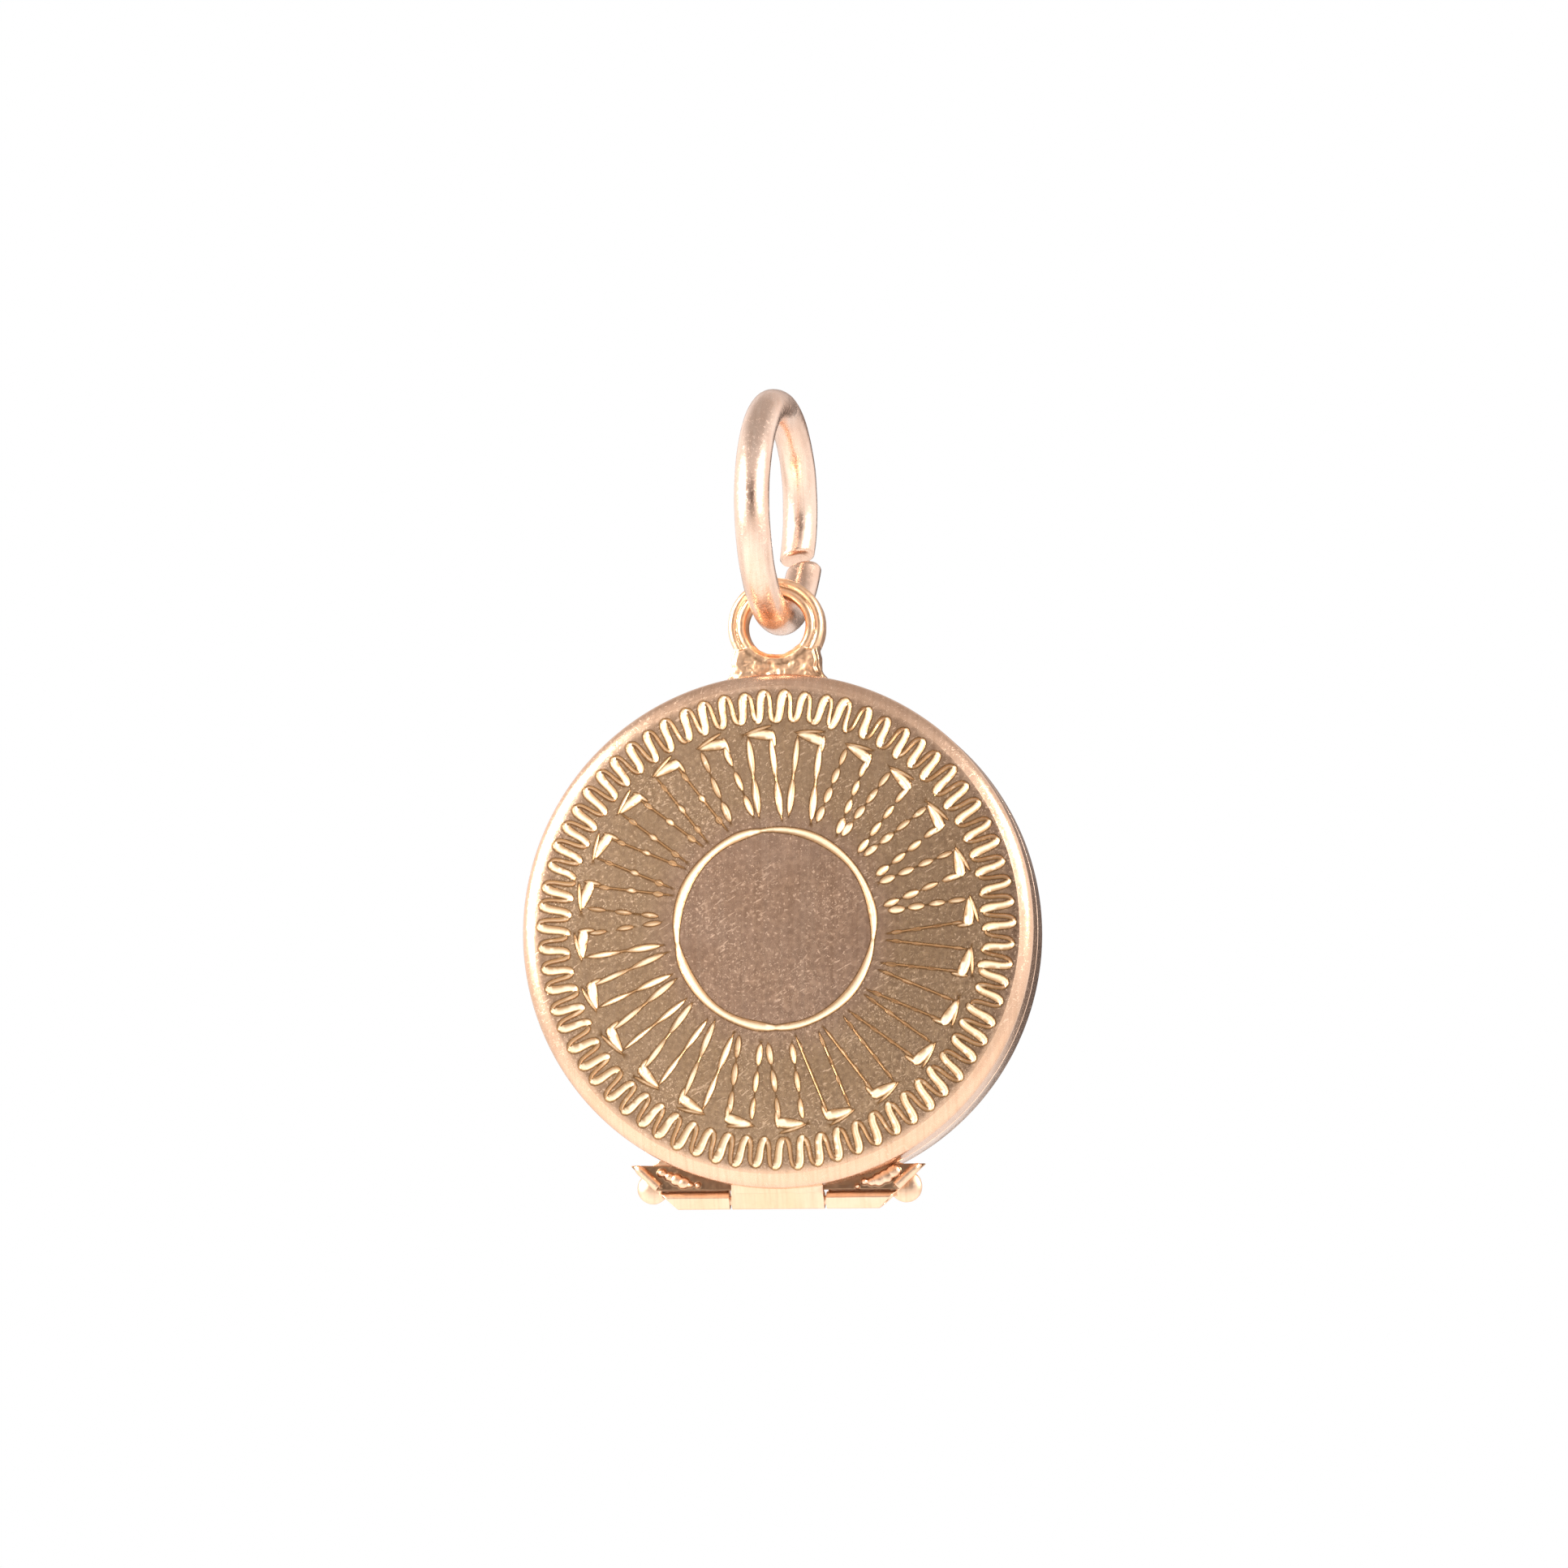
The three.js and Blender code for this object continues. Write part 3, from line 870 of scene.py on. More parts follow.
def worn_height(tree, place, specks, brushed, lines, wear, dents):
    """Height of soft dents, less scratches, pits and brush marks."""
    cells = add_node(tree, "TexVoronoi", {"Vector": place, "Scale": 2.6, "Randomness": 1.0})
    pits = mapped(tree, cells.outputs["Distance"], 0.03, 0.085, 1.0, 0.0)
    height = times(tree, noise_at(tree, place, 0.9, 2.0), 14.0 * dents)
    for field, depth in ((lines, 0.8), (pits, 2.0), (specks, -0.3), (brushed, 1.3)):
        height = maths(tree, "SUBTRACT", height, times(tree, field, depth * wear))
    return height


def engraved_colour(tree, place, tones, colour, lines, cut):
    """The face's colour: olive where it is worked, pale scratches, a painted highlight in the cuts and painted
    shade along their edges.
    """
    distance = from_axis(tree, place)
    worked = mapped(tree, distance, RING_CUT - 0.07, 4.4)
    inside_border = mapped(tree, distance, 7.2, 8.2, 1.0, 0.0)
    colour = mixed(tree, times(tree, times(tree, worked, inside_border), 0.4), colour, tones[4])
    colour = mixed(tree, times(tree, lines, 0.4), colour, tones[3])
    colour = mixed(tree, cut, colour, CUT_HIGHLIGHT_GOLD)
    # Painted shade along the cuts' edges.
    outline = mapped(tree, attribute(tree, "edge"), 0.15, 0.8)
    return mixed(tree, times(tree, outline, 0.88), colour, CUT_EDGE_SHADE)


def gold(name, tones, roughness, wear=1.0, dents=1.0):
    """Worn gold. Its tones are main, second, dark and pale, and olive if it is engraved."""
    material, tree, shader, place = new_material(name)
    shader.inputs["Metallic"].default_value = 1.0
    specks = noise_at(tree, place, 7.0, 5.0)
    brushed = brushing(tree, place, 0.55, 9.0)
    lines = crossed_scratches(tree, place)
    colour = mottled(tree, place, tones, specks, brushed)
    rough = mapped(tree, specks, 0.3, 0.75, roughness * 0.85, roughness * 1.25)
    rough = maths(tree, "ADD", rough, times(tree, lines, 0.12 * wear))
    if len(tones) > 4:
        # Painted highlight of the bright cuts.
        cut = attribute(tree, "cut")
        colour = engraved_colour(tree, place, tones, colour, lines, cut)
        rough = times(tree, rough, mapped(tree, cut, 0, 1, 1.0, 2.3))
    height = worn_height(tree, place, specks, brushed, lines, wear, dents)
    set_surface(tree, shader, colour, rough, height)
    return material


FACE_GOLD = gold(
    "engraved_face_gold",
    [(0.86, 0.56, 0.39), (0.80, 0.50, 0.33), (0.56, 0.33, 0.2), (0.93, 0.68, 0.5), (0.74, 0.5, 0.23)],
    roughness=0.25,
)
CASE_GOLD = gold(
    "case_gold",
    [(0.93, 0.66, 0.5), (0.90, 0.60, 0.43), (0.68, 0.42, 0.28), (0.96, 0.74, 0.58)],
    roughness=0.2,
)
RING_GOLD = gold(
    "ring_gold",
    [(0.93, 0.68, 0.54), (0.84, 0.55, 0.4), (0.6, 0.37, 0.25), (0.97, 0.78, 0.64)],
    roughness=0.26,
    wear=1.4,
    dents=2.0,
)
BAIL_GOLD = gold(
    "bail_gold",
    [(0.96, 0.64, 0.41), (0.92, 0.54, 0.31), (0.74, 0.4, 0.21), (1.0, 0.8, 0.52)],
    roughness=0.33,
)
HINGE_GOLD = gold(
    "hinge_gold",
    [(0.9, 0.63, 0.45), (0.86, 0.57, 0.37), (0.62, 0.37, 0.22), (0.93, 0.7, 0.5)],
    roughness=0.34,
)
INNER_GOLD = gold(
    "inner_gold",
    [(0.9, 0.66, 0.38), (0.86, 0.6, 0.32), (0.66, 0.42, 0.2), (0.95, 0.74, 0.46)],
    roughness=0.25,
)


def paper():
    """Cream photo card with fibres, foxing and a rubbed surface."""
    material, tree, shader, place = new_material("photo_card")
    fibres = noise_at(tree, place, 9.0, 6.0)
    foxing = noise_at(tree, place, 0.8, 3.0)
    colour = mixed(tree, mapped(tree, fibres, 0.35, 0.7), (0.78, 0.7, 0.54), (0.66, 0.57, 0.4))
    colour = mixed(tree, mapped(tree, foxing, 0.56, 0.72, 0, 0.5), colour, (0.5, 0.34, 0.18))
    rough = mapped(tree, fibres, 0.3, 0.7, 0.7, 0.95)
    set_surface(tree, shader, colour, rough, times(tree, fibres, 6.0))
    return material


def celluloid():
    """Clear, slightly yellowed window with rubbed patches."""
    material, tree, shader, place = new_material("celluloid")
    shader.inputs["Transmission Weight"].default_value = 1.0
    shader.inputs["IOR"].default_value = 1.49
    haze = noise_at(tree, place, 0.9, 4.0)
    lines = scratches(tree, place, (0.2, 0.5, 0.3), 14, 2.6)
    rough = maths(tree, "ADD", mapped(tree, haze, 0.3, 0.7, 0.03, 0.12), times(tree, lines, 0.2))
    colour = mixed(tree, mapped(tree, haze, 0.3, 0.7), (0.98, 0.96, 0.88), (0.93, 0.88, 0.74))
    set_surface(tree, shader, colour, rough)
    return material


CARD = paper()
CELLULOID = celluloid()

# ---- Pieces ----


def cover_outline(depth):
    """Half outline of a plain cover as (radius, depth) points, flat outside."""
    return [
        (0, depth),
        *arc(FACE_RADIUS, depth - SHOULDER, SHOULDER, 90, 0, ROUND_STEPS),
        (CASE_RADIUS, SEAM_HALF + LIP_OUTER),
        (CASE_RADIUS - LIP_OUTER, SEAM_HALF),
        (CASE_RADIUS - SHEET, SEAM_HALF),
        (CASE_RADIUS - SHEET, depth - SHEET),
        (0, depth - SHEET),
    ]


def back_cover():
    shape = open_at_axis(outward(cover_outline(BACK_DEPTH)))
    verts, faces = turned_mesh(shape, BACK_SIDES)
    make_piece("plain_back_cover", verts, faces, "back_half", CASE_GOLD, "plain_back", ["back_cover"])


def wire_section(t, size, sides):
    """Vertices round the ring's wire at a share t of its length, its thickness scaled by size."""
    radius = RING_INSIDE + WIRE
    half_gap = math.degrees(RING_GAP / 2 / radius)
    angle = math.radians(RING_GAP_AT + half_gap + t * (360 - 2 * half_gap))
    out = Vector((0, math.cos(angle), math.sin(angle)))
    along = Vector((0, -math.sin(angle), math.cos(angle)))
    from_bail = (math.degrees(angle) - 90) % 360 - 180
    rub = RING_RUB * math.exp(-((from_bail / 26) ** 2))
    near_end = max(0, 1 - min(t, 1 - t) / 0.03)
    middle = out * radius + Vector(((2 * t - 1) ** 5 * RING_SPRING / 2, 0, -RING_INSIDE))
    verts = []
    for i in range(sides):
        turn = TAU * i / sides
        face_out, face_side = math.cos(turn), math.sin(turn)
        spot = Vector((face_side * 0.9, angle * 2.1, face_out * 0.9))
        beaten = RING_UNEVEN * (noise.noise(spot) + noise.noise(spot * 2.7) / 2)
        reach = WIRE * size * (1 - RING_UNEVEN) - RING_UNEVEN / 2 + beaten * size
        reach -= rub * max(0, -face_out) ** 2
        place = middle + (out * face_out + Vector((face_side, 0, 0))) * reach
        verts.append(place + along * (RING_BEVEL * near_end * face_side * size))
    return verts


def jump_ring():
    """Round wire bent almost shut; its worn ends have sprung apart sideways at the back."""
    steps, sides = 220, 36
    rows = [(0.0, 0.55), (0.0, 0.85)]
    rows += [(i / steps, 1.0) for i in range(1, steps)]
    rows += [(1.0, 0.85), (1.0, 0.55)]
    twist = Matrix.Rotation(math.radians(RING_TWIST), 3, "Z")
    verts = [twist @ v for t, size in rows for v in wire_section(t, size, sides)]
    faces = band_faces(len(rows), sides, flip=True)
    last = (len(rows) - 1) * sides
    faces.append(list(range(sides)))
    faces.append([last + i for i in range(sides - 1, -1, -1)])
    make_piece("worn_jump_ring", verts, faces, "ring", RING_GOLD, "jump_ring", ["jump_ring"], sharp=50)


def bail_section():
    """The loop's reeded section, as (outwards from the hole, forwards) points over its beads."""
    front = [
        (0.0, 0.0),
        (0.0, 0.16),
        *arc(0.19, 0.4, 0.16, 180, 20, 8),
        (LOOP_GROOVE, 0.40),
        *arc(0.485, 0.36, 0.15, 160, 0, 8),
        (BAIL_WALL, 0.0),
    ]
    return front + [(out, -forward) for out, forward in front[-2:0:-1]]


def bail_loop():
    """The bail's section turned about its hole."""
    section = bail_section()
    sides = 96
    verts = []
    for i in range(sides):
        angle = TAU * i / sides
        for out, forward in section:
            x = BAIL_X + (BAIL_HOLE + out) * math.sin(angle)
            z = BAIL_Z + (BAIL_HOLE + out) * math.cos(angle)
            verts.append((x, -forward * BAIL_HALF / SECTION_HALF, z))
    return verts, band_faces(sides, len(section), closed=True)


def foot_outline(end, inset):
    """One side of the solder foot: under the loop, out down its flank and onto the case's edge."""
    arch = BAIL_HOLE + 0.1 + inset
    tip = CASE_Z + math.sqrt(CASE_RADIUS**2 - (BAIL_X + end * FOOT_REACH - CASE_X) ** 2)
    spots = [
        (0, CASE_Z + CASE_RADIUS - 0.02),
        (0, BAIL_Z - BAIL_HOLE - 0.08 - inset),
        *[(arch * math.sin(angle), BAIL_Z - arch * math.cos(angle)) for angle in FOOT_ARCH],
        (1.28 - inset, BAIL_Z - 0.8 - inset),
        *[(out - inset, BAIL_Z - down) for out, down in FOOT_FLARE],
        (FOOT_REACH - inset, tip + 0.03),
        (FOOT_REACH - inset, tip - 0.08),
    ]
    return [(BAIL_X + end * out, z) for out, z in spots]


def foot_lumps():
    """Blobs of solder scattered over the foot's front and back, clear of the hole."""
    top = CASE_Z + CASE_RADIUS
    blobs = []
    for _ in range(FOOT_LUMPS):
        x = BAIL_X + rng.uniform(-1.35, 1.35)
        y = rng.choice((-0.40, 0.42))
        z = rng.uniform(top - 0.05, top + 0.7)
        if math.hypot(x - BAIL_X, z - BAIL_Z) > BAIL_HOLE + 0.3:
            size = rng.uniform(0.16, 0.3)
            blobs.append(ball((x, y, z), (size * 1.5, 0.19, size)))
    return blobs


def rest_on_case(point):
    """A point of the bail held off the case, closer to it on the back half that the foot joins."""
    x, y, z = point
    r = math.hypot(x - CASE_X, z - CASE_Z)
    least = CASE_RADIUS - 0.03 if y > SEAM_Y + 0.06 else CASE_RADIUS + 0.04
    if r < least:
        x = CASE_X + (x - CASE_X) * least / r
        z = CASE_Z + (z - CASE_Z) * least / r
    return (x, min(max(y, bail_lo.y), bail_hi.y), min(z, bail_hi.z))


def bail_lumps(point):
    """Height of the bail's unevenness, which grows down its foot."""
    return 0.006 + 0.12 * min(max(BAIL_Z - BAIL_HOLE + 0.1 - point.z, 0), 0.5)


def bail_painted_shade(point):
    """Painted shade on the foot's right side and in the groove between the loop's beads."""
    foot = min(max((point.x - BAIL_X - 1.2) / 0.25, 0), 1) * (point.z < BAIL_Z - 0.7)
    past_groove = math.hypot(point.x - BAIL_X, point.z - BAIL_Z) - BAIL_HOLE - LOOP_GROOVE
    return 0.75 * foot + 0.6 * math.exp(-((past_groove / 0.05) ** 2))


def bail():
    """Reeded ring standing on a soldered foot that spreads onto the back half's edge."""
    parts = [bail_loop()]
    for end in (-1, 1):
        for half_depth, inset in ((0.46, -0.09), (0.57, 0.04)):
            parts.append(slab(foot_outline(end, inset), -half_depth, half_depth))
    parts += foot_lumps()
    look = (BAIL_GOLD, "bail")
    nodes = ["bail_ring", "bail_saddle"]
    shaping = (BROAD_VOXEL, 5, bail_lumps, rest_on_case, bail_painted_shade)
    fused("reeded_bail", parts, "back_half", *look, nodes, *shaping)


def slant_x(z):
    """Where the filed end of the hinge lies, at a height z above the pin's axis."""
    per_rise = (WING_REACH - BAR_HALF) / (WING_TOP + KNUCKLE_RADIUS)
    return BAR_HALF + (z + KNUCKLE_RADIUS) * per_rise


def clear_of_pin(point):
    """A point moved out of the round channel that the knuckles turn in."""
    x, y, z = point
    gap = math.hypot(y - SEAM_Y, z - PIN_Z)
    channel = KNUCKLE_RADIUS + 0.03
    beside = abs(x - HINGE_X) > slant_x(z - PIN_Z) + 0.04
    if 1e-6 < gap < channel and not beside:
        y = SEAM_Y + (y - SEAM_Y) * channel / gap
        z = PIN_Z + (z - PIN_Z) * channel / gap
    return (x, y, z)


def rim_arc(end, from_x, to_x):
    """(x, z) points just inside the case's edge between two distances from the hinge's middle."""
    points = []
    steps = 8
    reach = CASE_RADIUS - WING_UNDER_EDGE
    for i in range(steps + 1):
        x = HINGE_X + end * (from_x + (to_x - from_x) * i / steps)
        points.append((x, CASE_Z - math.sqrt(reach**2 - (x - CASE_X) ** 2)))
    return points


def knuckle_tube(ends, lower_ends):
    """Bored knuckle along X between two ends, filed at a slant when its lower ends differ."""
    sides = 40
    verts, faces = [], []
    for radius in (KNUCKLE_RADIUS, PIN_BORE):
        for high, low in zip(ends, lower_ends):
            for i in range(sides):
                turn = TAU * i / sides
                rise = (1 + math.sin(turn) * radius / KNUCKLE_RADIUS) / 2
                x = low + (high - low) * rise
                verts.append((x, SEAM_Y + radius * math.cos(turn), PIN_Z + radius * math.sin(turn)))
    a, b, c, d = (k * sides for k in range(4))  # outside start and end, bore start and end
    for i in range(sides):
        n = (i + 1) % sides
        faces.append([a + i, a + n, b + n, b + i])
        faces.append([c + i, d + i, d + n, c + n])
        faces.append([a + i, c + i, c + n, a + n])
        faces.append([b + i, b + n, d + n, d + i])
    return verts, faces


def fillet(side, from_x, to_x):
    """Solder that runs from a half's edge down onto a knuckle; side is -1 in front, 1 behind."""
    round_bore = arc(0, 0, PIN_BORE + BORE_COVER, 75, 0, 3)
    verts = []
    steps = 24
    for i in range(steps + 1):
        x = from_x + (to_x - from_x) * i / steps
        rim = CASE_Z - math.sqrt((CASE_RADIUS - 0.05) ** 2 - (x - CASE_X) ** 2) - PIN_Z
        near_end = min(1, 4 * min(i, steps - i) / steps + 0.4)
        section = [
            *round_bore,
            (KNUCKLE_RADIUS + 0.02, 0.02),
            (KNUCKLE_RADIUS + 0.10 * near_end, 0.13),
            (KNUCKLE_RADIUS + FILLET_BULGE * near_end, rim + 0.02),
            (KNUCKLE_RADIUS + FILLET_BULGE * near_end, rim + 0.1),
            (0.06, rim + 0.1),
            (0.06, KNUCKLE_RADIUS - 0.02),
        ]
        verts.extend((x, SEAM_Y + side * out, PIN_Z + rise) for out, rise in section)
    count = len(section)
    faces = band_faces(steps + 1, count)
    faces.append(list(range(count)))
    faces.append([steps * count + k for k in range(count - 1, -1, -1)])
    return verts, faces


def filed(point):
    """A knuckle's point held behind the flat that is filed along the bar's front."""
    x, y, z = point
    lean = math.radians(FILED_LEAN)
    proud = -(y - SEAM_Y) * math.cos(lean) - (z - PIN_Z) * math.sin(lean) - FILED_AT * KNUCKLE_RADIUS
    if proud > 0 and z < PIN_Z + 0.2:
        y += proud * math.cos(lean)
        z += proud * math.sin(lean)
    return (x, y, z)


def hinge_piece(name, parts, body, node, voxel, relax, unevenness, press, painted_shade=None):
    """One fused piece of the hinge that takes the place of a node."""
    look = (HINGE_GOLD, "hinge")
    fused(name, parts, body, *look, [node], voxel, relax, lambda _: unevenness, press, painted_shade)


def front_knuckle():
    ends = (HINGE_X - KNUCKLE_HALF, HINGE_X + KNUCKLE_HALF)
    parts = [knuckle_tube(ends, ends), fillet(-1, ends[0] + 0.01, ends[1] - 0.01)]
    hinge_piece(
        "front_knuckle", parts, "front_half", "hinge_knuckle_front", FINE_VOXEL, 2, 0.004, filed
    )


def back_knuckle(name, end):
    inner = HINGE_X + end * (KNUCKLE_HALF + KNUCKLE_GAP)
    upper = HINGE_X + end * slant_x(KNUCKLE_RADIUS)
    lower = HINGE_X + end * slant_x(-KNUCKLE_RADIUS)
    parts = [
        knuckle_tube((inner, upper), (inner, lower)),
        fillet(1, inner + end * 0.04, upper - end * 0.3),
    ]
    node = "hinge_knuckle_back_" + name
    hinge_piece("back_knuckle_" + name, parts, "back_half", node, FINE_VOXEL, 2, 0.004, filed)


def front_plate(end, floor, back):
    """The set-back plate of a pointed wing."""
    inner = KNUCKLE_HALF - 0.3
    tip_z = PIN_Z + WING_TOP
    rim_start = min(math.sqrt(CASE_RADIUS**2 - (CASE_Z - tip_z) ** 2) - 0.1, WING_REACH - 0.7)
    rim = rim_arc(end, rim_start, inner)
    outline = [
        (HINGE_X + end * WING_REACH, tip_z),
        (rim[0][0], tip_z),
        *rim,
        (HINGE_X + end * inner, PIN_Z + FRONT_WING_FOOT),
        (HINGE_X + end * slant_x(FRONT_WING_FOOT), PIN_Z + FRONT_WING_FOOT),
    ]
    return slab(outline, floor, back)


def strap(end, front, back):
    """The raised strap along a pointed wing's slanted edge, and the web behind it."""
    path, radii = [], []
    top, foot = WING_TOP - 0.03, FRONT_WING_FOOT + 0.1
    for i in range(STRAP_STEPS + 1):
        t = i / STRAP_STEPS
        z = top - (top - foot) * t
        x = slant_x(z) - STRAP_RADIUS - 0.01
        path.append((HINGE_X + end * x, front + STRAP_RADIUS + 0.03, PIN_Z + z))
        radii.append(STRAP_RADIUS * (0.35 + 0.65 * min(1, 5 * t + 0.15)))
    web = [(x, z) for x, _, z in path]
    web += [(x - end * 0.1, z) for x, z in reversed(web)]
    return [rod(path, radii), slab(web, front + 0.14, back)]


def solder_beads(end, floor):
    """Beads of solder on a pointed wing's floor, smaller towards the middle of the hinge."""
    beads = []
    for k in range(BEAD_COUNT):
        x = slant_x(0.75) - 0.62 - 0.24 * k
        z = 0.86 - 0.075 * k + rng.uniform(-0.1, 0.06)
        size = rng.uniform(0.1, 0.25) * (1 - 0.08 * k)
        place = (HINGE_X + end * x, floor - 0.03, PIN_Z + z)
        beads.append(ball(place, (size * 1.15, 0.14, size)))
    return beads


def front_wing(name, end):
    """Corner plate set back behind a raised strap along its slanted edge, with beads of solder."""
    front = SEAM_Y - SEAM_HALF - WING_THICK
    back = SEAM_Y - SEAM_HALF
    floor = front + FRONT_WING_SETBACK

    def held(point):
        x, y, z = clear_of_pin(point)
        return (x, max(min(y, back), front), min(z, PIN_Z + WING_TOP))

    # Painted shade on the set-back floor, darkest at its depth.
    def painted_shade(point):
        return 1 - abs(point.y - floor) / 0.09

    parts = [front_plate(end, floor, back), *strap(end, front, back), *solder_beads(end, floor)]
    title = "front_wing_and_strap_" + name
    node = "front_wing_" + name
    hinge_piece(title, parts, "front_half", node, FINE_VOXEL, 2, 0.012, held, painted_shade)


def back_wing(name, end):
    """Corner plate of the back half, ending in a round lobe."""
    front = SEAM_Y + SEAM_HALF
    back = front + WING_THICK
    inner = KNUCKLE_HALF + KNUCKLE_GAP + 0.1
    outline = [
        (HINGE_X + end * LOBE_X, PIN_Z + WING_TOP),
        *rim_arc(end, LOBE_X - 0.32, inner),
        (HINGE_X + end * inner, PIN_Z + 0.3),
        (HINGE_X + end * (LOBE_X - 0.3), PIN_Z + 0.1),
    ]
    middle = (HINGE_X + end * LOBE_X, (front + back) / 2, PIN_Z + LOBE_Z)
    lobe = ball(middle, (LOBE_RADIUS, WING_THICK / 2, LOBE_RADIUS), 24, 40)

    def held(point):
        x, y, z = clear_of_pin(point)
        return (x, max(min(y, back), front), z)

    parts = [slab(outline, front, back), lobe]
    node = "back_wing_" + name
    hinge_piece("lobed_" + node, parts, "back_half", node, BROAD_VOXEL, 3, 0.01, held)


def size_of(node):
    """Radius of a round inner node, and its nearest and farthest depths from the seam."""
    lo, hi = box_mm(node)
    near, far = sorted((abs(lo.y - SEAM_Y), abs(hi.y - SEAM_Y)))
    return (hi.x - lo.x) / 2, near, far


def case_ring(half):
    """Outline of a case ring, which holds the photo frame and fits the cover's rounded edge."""
    outside, near, deep = size_of(half + "_case_ring")
    frame_radius, frame_near, _ = size_of(half + "_photo_frame")
    seat = frame_radius + SEAT_GAP
    wall = outside - RING_WALLS[half]
    step = frame_near if half == "front" else BACK_RING_STEP
    chamfer = SHOULDER - SHEET
    return [
        (outside, near),
        (outside, deep - chamfer),
        (outside - chamfer, deep),
        (seat, deep),
        (seat, step),
        (wall, step),
        (wall, near),
    ]


def photo_frame(half):
    """Outline of a photo frame: sloped towards the picture, with a groove round its face."""
    radius, face, back = size_of(half + "_photo_frame")
    sight = radius - FRAME_WIDTH
    groove = sight + GROOVE_AT
    return [
        (radius, face),
        (radius, back),
        (sight, back),
        (sight, back - SIGHT_LIP),
        (sight + 0.06, face + 0.1),
        (sight + SIGHT_SLOPE, face),
        (groove - GROOVE_HALF, face),
        (groove, face + GROOVE_DEPTH),
        (groove + GROOVE_HALF, face),
    ]


def disc(node):
    radius, near, far = size_of(node)
    return [(0, near), (radius, near), (radius, far), (0, far)]


def inner_parts():
    """Case rings, photo frames, cards and windows, as rounded turned pieces."""
    for half, side in (("front", -1), ("back", 1)):
        card, window = half + "_photo_card", half + "_glazing"
        ring, surround = half + "_case_ring", half + "_photo_frame"
        gold_look = (INNER_GOLD, "inner_gold")
        for title, node, outline, look, bevel in (
            ("turned_case_ring", ring, case_ring(half), gold_look, 0.03),
            ("beaded_photo_frame", surround, photo_frame(half), gold_look, 0.025),
            ("card", card, disc(card), (CARD, "photo_card"), 0.02),
            ("window", window, disc(window), (CELLULOID, "glazing"), 0.02),
        ):
            shape = [(r, side * w) for r, w in outline]
            turned_piece(f"{half}_{title}", shape, half + "_half", *look, [node], bevel=bevel)


def snap_rim():
    """The raised rim that the front half snaps over, with its bead."""
    lo, hi = box_mm("snap_rim")
    outside = (hi.x - lo.x) / 2 - SNAP_BEAD
    inside = outside - SNAP_WALL
    top, foot = lo.y - SEAM_Y, hi.y - SEAM_Y
    bead = top + SNAP_BEAD_AT
    outline = [
        (inside, foot),
        (inside, top),
        (outside - SNAP_LEAD, top),
        (outside, top + SNAP_LEAD),
        (outside, bead - SNAP_BEAD_HALF),
        (outside + SNAP_BEAD, bead),
        (outside, bead + SNAP_BEAD_HALF),
        (outside, foot),
    ]
    turned_piece(
        "turned_snap_rim", outline, "back_half", INNER_GOLD, "inner_gold", ["snap_rim"], bevel=0.025
    )


def pin_gold():
    """The hinge pin stays as it is in the frame and only gets its gold."""
    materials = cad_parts["hinge_pin"].data.materials
    materials.clear()
    materials.append(HINGE_GOLD)


engraved_cover()
back_cover()
inner_parts()
snap_rim()
jump_ring()
bail()
front_knuckle()
for side_name, side_end in (("left", -1), ("right", 1)):
    back_knuckle(side_name, side_end)
    front_wing(side_name, side_end)
    back_wing(side_name, side_end)
pin_gold()

# ---- Camera ----

VIEW_AZIMUTH = 8.0
VIEW_ELEVATION = -6.0
VIEW_DISTANCE = 0.30  # metres
VIEW_WIDTH = 0.05156  # metres across the picture at the locket
SENSOR = 36.0
FRAME_RIGHT = 0.304  # the picture's middle from the face's middle
FRAME_UP = 4.75


def make_camera():
    azimuth, elevation = math.radians(VIEW_AZIMUTH), math.radians(VIEW_ELEVATION)
    back = Vector(
        (
            math.sin(azimuth) * math.cos(elevation),
            -math.cos(azimuth) * math.cos(elevation),
            math.sin(elevation),
        )
    )
    turn = (-back).to_track_quat("-Z", "Y")
    right, up = turn @ Vector((1, 0, 0)), turn @ Vector((0, 1, 0))
    target = Vector(to_case(0, 0, -FRONT_DEPTH)) + right * FRAME_RIGHT + up * FRAME_UP
    data = bpy.data.cameras.new("camera")
    data.sensor_width = SENSOR
    data.lens = SENSOR * VIEW_DISTANCE / VIEW_WIDTH
    data.clip_start, data.clip_end = 0.01, 10
    camera = bpy.data.objects.new("camera", data)
    bpy.context.scene.collection.objects.link(camera)
    camera.location = target * MM + back * VIEW_DISTANCE
    camera.rotation_mode = "QUATERNION"
    camera.rotation_quaternion = turn
    bpy.context.scene.camera = camera


# ---- Studio ----

SURROUND = (1.17, 1.16, 1.17)
DIM_ZONE = (0.37, 0.345, 0.34)
DARK_ZONE = (0.085, 0.066, 0.06)  # the dim zone's lower right
OVERHEAD = (0.3, 0.27, 0.25)
FLOOR_DROP = 34  # below the locket
FLOOR_HALF = 400
FLOOR_FADE = (45, 150)  # distances over which the floor turns into the white surroundings


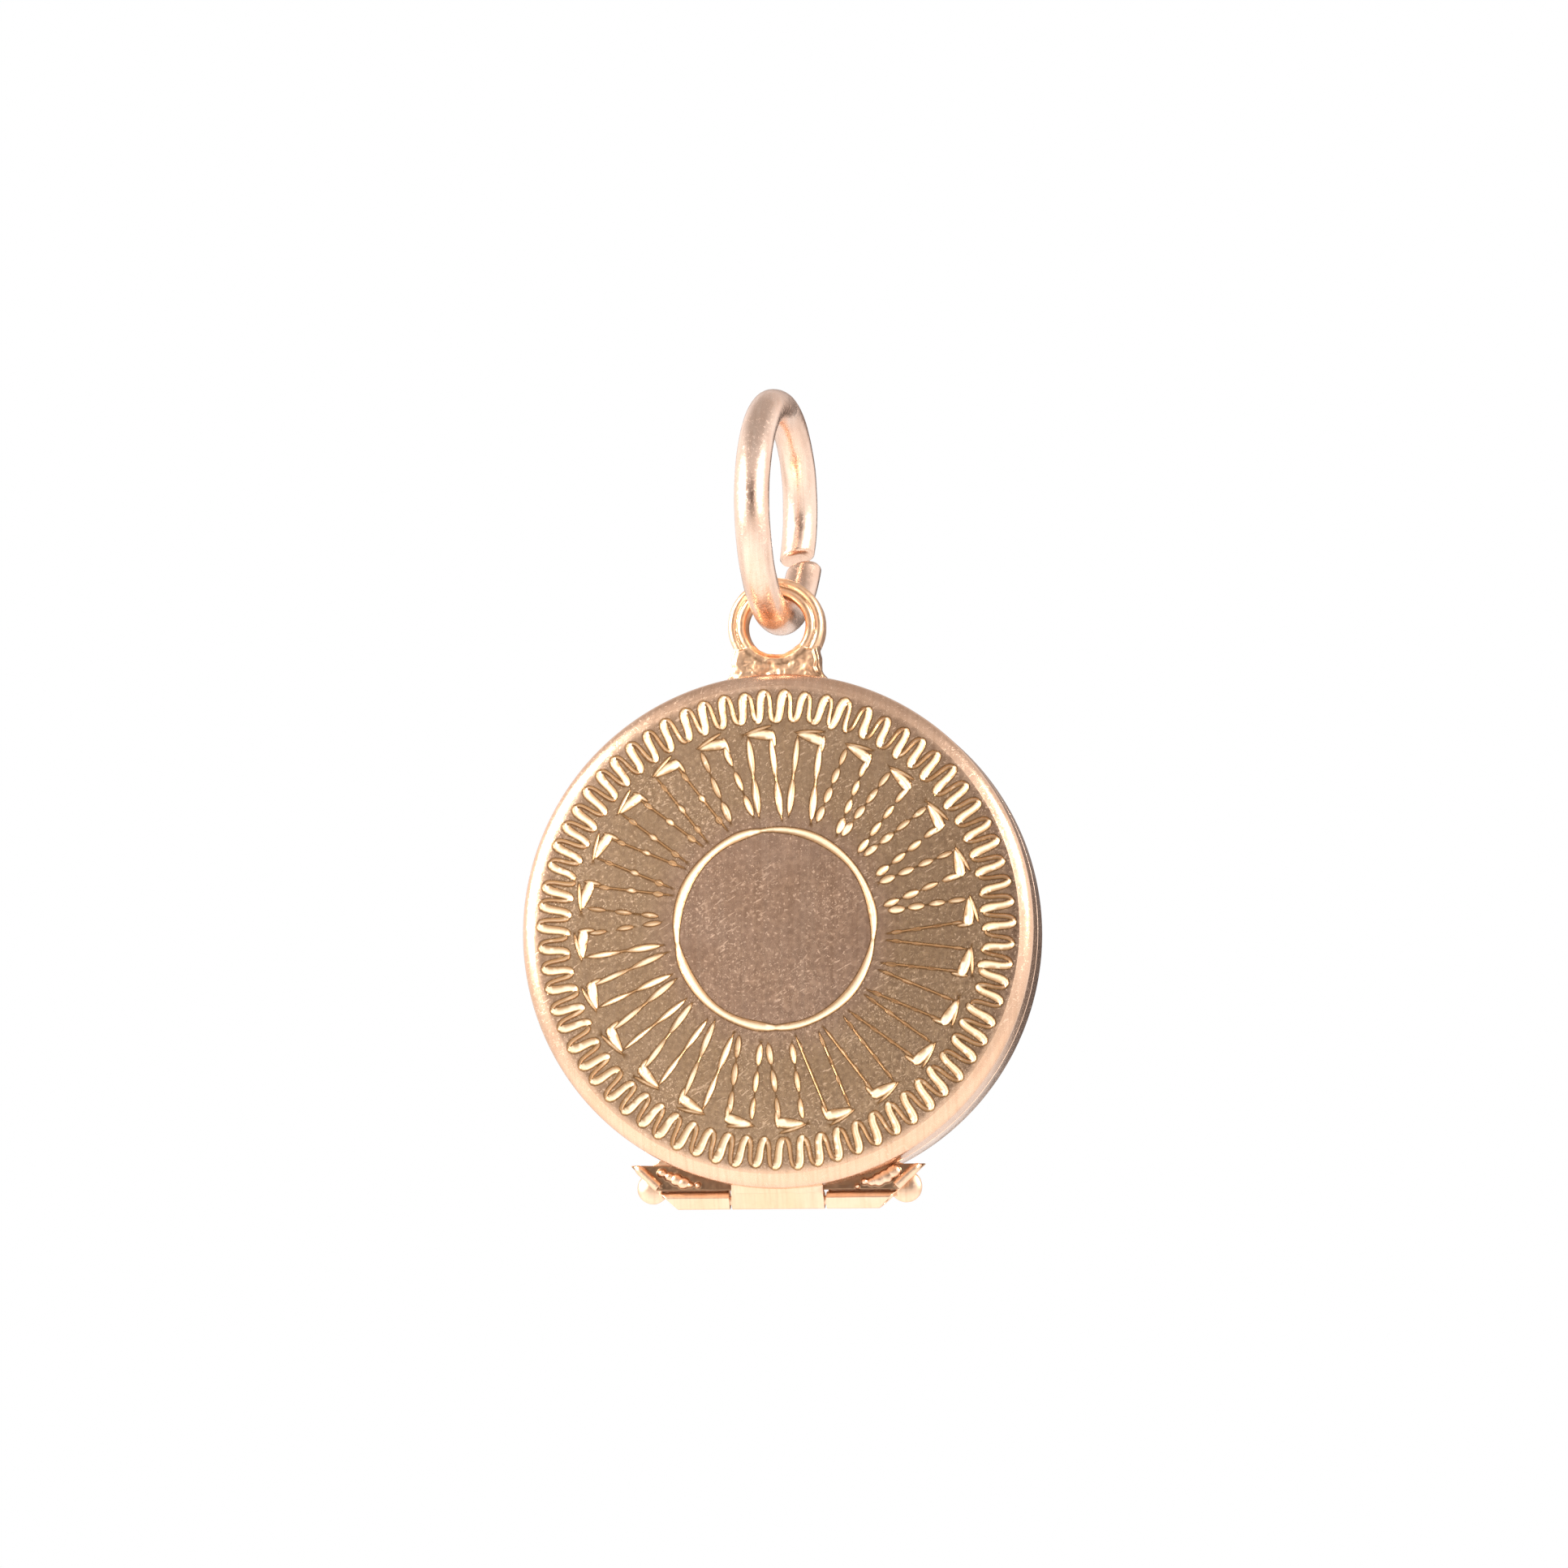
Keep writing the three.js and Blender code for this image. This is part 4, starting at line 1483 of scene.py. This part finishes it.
def make_world():
    """White surroundings with a dim zone in front and behind, and dimmer overhead, for reflections."""
    world = bpy.data.worlds.new("studio")
    bpy.context.scene.world = world
    world.use_nodes = True
    tree = world.node_tree
    tree.nodes.clear()
    direction = add_node(tree, "TexCoord").outputs["Generated"]
    split = add_node(tree, "SeparateXYZ", {0: direction}).outputs
    zone = mapped(tree, maths(tree, "ABSOLUTE", split["Y"]), 0.80, 0.93)
    low_right = mapped(tree, maths(tree, "SUBTRACT", split["X"], split["Z"]), -0.27, 0.0)
    overhead = times(tree, mapped(tree, split["Z"], 0.35, 0.85), 0.75)
    shade = mixed(tree, zone, SURROUND, mixed(tree, low_right, DIM_ZONE, DARK_ZONE))
    shade = mixed(tree, overhead, shade, OVERHEAD)
    lit = add_node(tree, "Background", {"Color": shade, "Strength": 1.0})
    seen = add_node(tree, "Background", {"Color": (1, 1, 1, 1), "Strength": 1.0})
    camera_ray = add_node(tree, "LightPath").outputs["Is Camera Ray"]
    both = add_node(tree, "MixShader", {0: camera_ray, 1: lit.outputs[0], 2: seen.outputs[0]})
    add_node(tree, "OutputWorld", {"Surface": both.outputs[0]})


def make_light(name, place, size, power):
    """A soft area light, place in millimetres from the case's middle."""
    data = bpy.data.lights.new(name, "AREA")
    data.shape = "DISK"
    data.size = size * MM
    data.energy = power
    lamp = bpy.data.objects.new(name, data)
    bpy.context.scene.collection.objects.link(lamp)
    lamp.location = (Vector(to_case(0, 0, 0)) + Vector(place)) * MM
    lamp.rotation_mode = "QUATERNION"
    lamp.rotation_quaternion = (-Vector(place)).to_track_quat("-Z", "Y")


def floor_material():
    """Pale grained floor that fades into the white surroundings."""
    material, tree, shader, place = new_material("pale_floor")
    grain = noise_at(tree, place, 0.05, 3.0)
    colour = mixed(tree, grain, (0.86, 0.855, 0.85), (0.9, 0.9, 0.895))
    tree.links.new(colour, shader.inputs["Base Color"])
    shader.inputs["Roughness"].default_value = 0.8
    away = vector_maths(tree, "LENGTH", {0: place})["Value"]
    white = add_node(tree, "Emission", {"Color": (1, 1, 1, 1), "Strength": 1.0})
    fade = mapped(tree, away, *FLOOR_FADE)
    faded = add_node(tree, "MixShader", {0: fade, 1: shader.outputs[0], 2: white.outputs[0]})
    tree.links.new(faded.outputs[0], tree.nodes["Material Output"].inputs["Surface"])
    return material


def make_floor():
    """A pale floor, well below the hanging locket."""
    low = cad_bounds[0].z / MM - FLOOR_DROP
    corners = [(x * FLOOR_HALF, y * FLOOR_HALF, low) for x, y in ((-1, -1), (1, -1), (1, 1), (-1, 1))]
    mesh = bpy.data.meshes.new("floor")
    mesh.from_pydata([Vector(corner) * MM for corner in corners], [], [(0, 1, 2, 3)])
    mesh.materials.append(floor_material())
    floor = bpy.data.objects.new("floor", mesh)
    bpy.context.scene.collection.objects.link(floor)


make_camera()
make_world()
make_light("key_left", (-150, -90, 60), 90, 0.55)
make_light("fill_right", (150, -70, 70), 60, 0.3)
make_floor()
bpy.context.scene.view_settings.view_transform = "Standard"
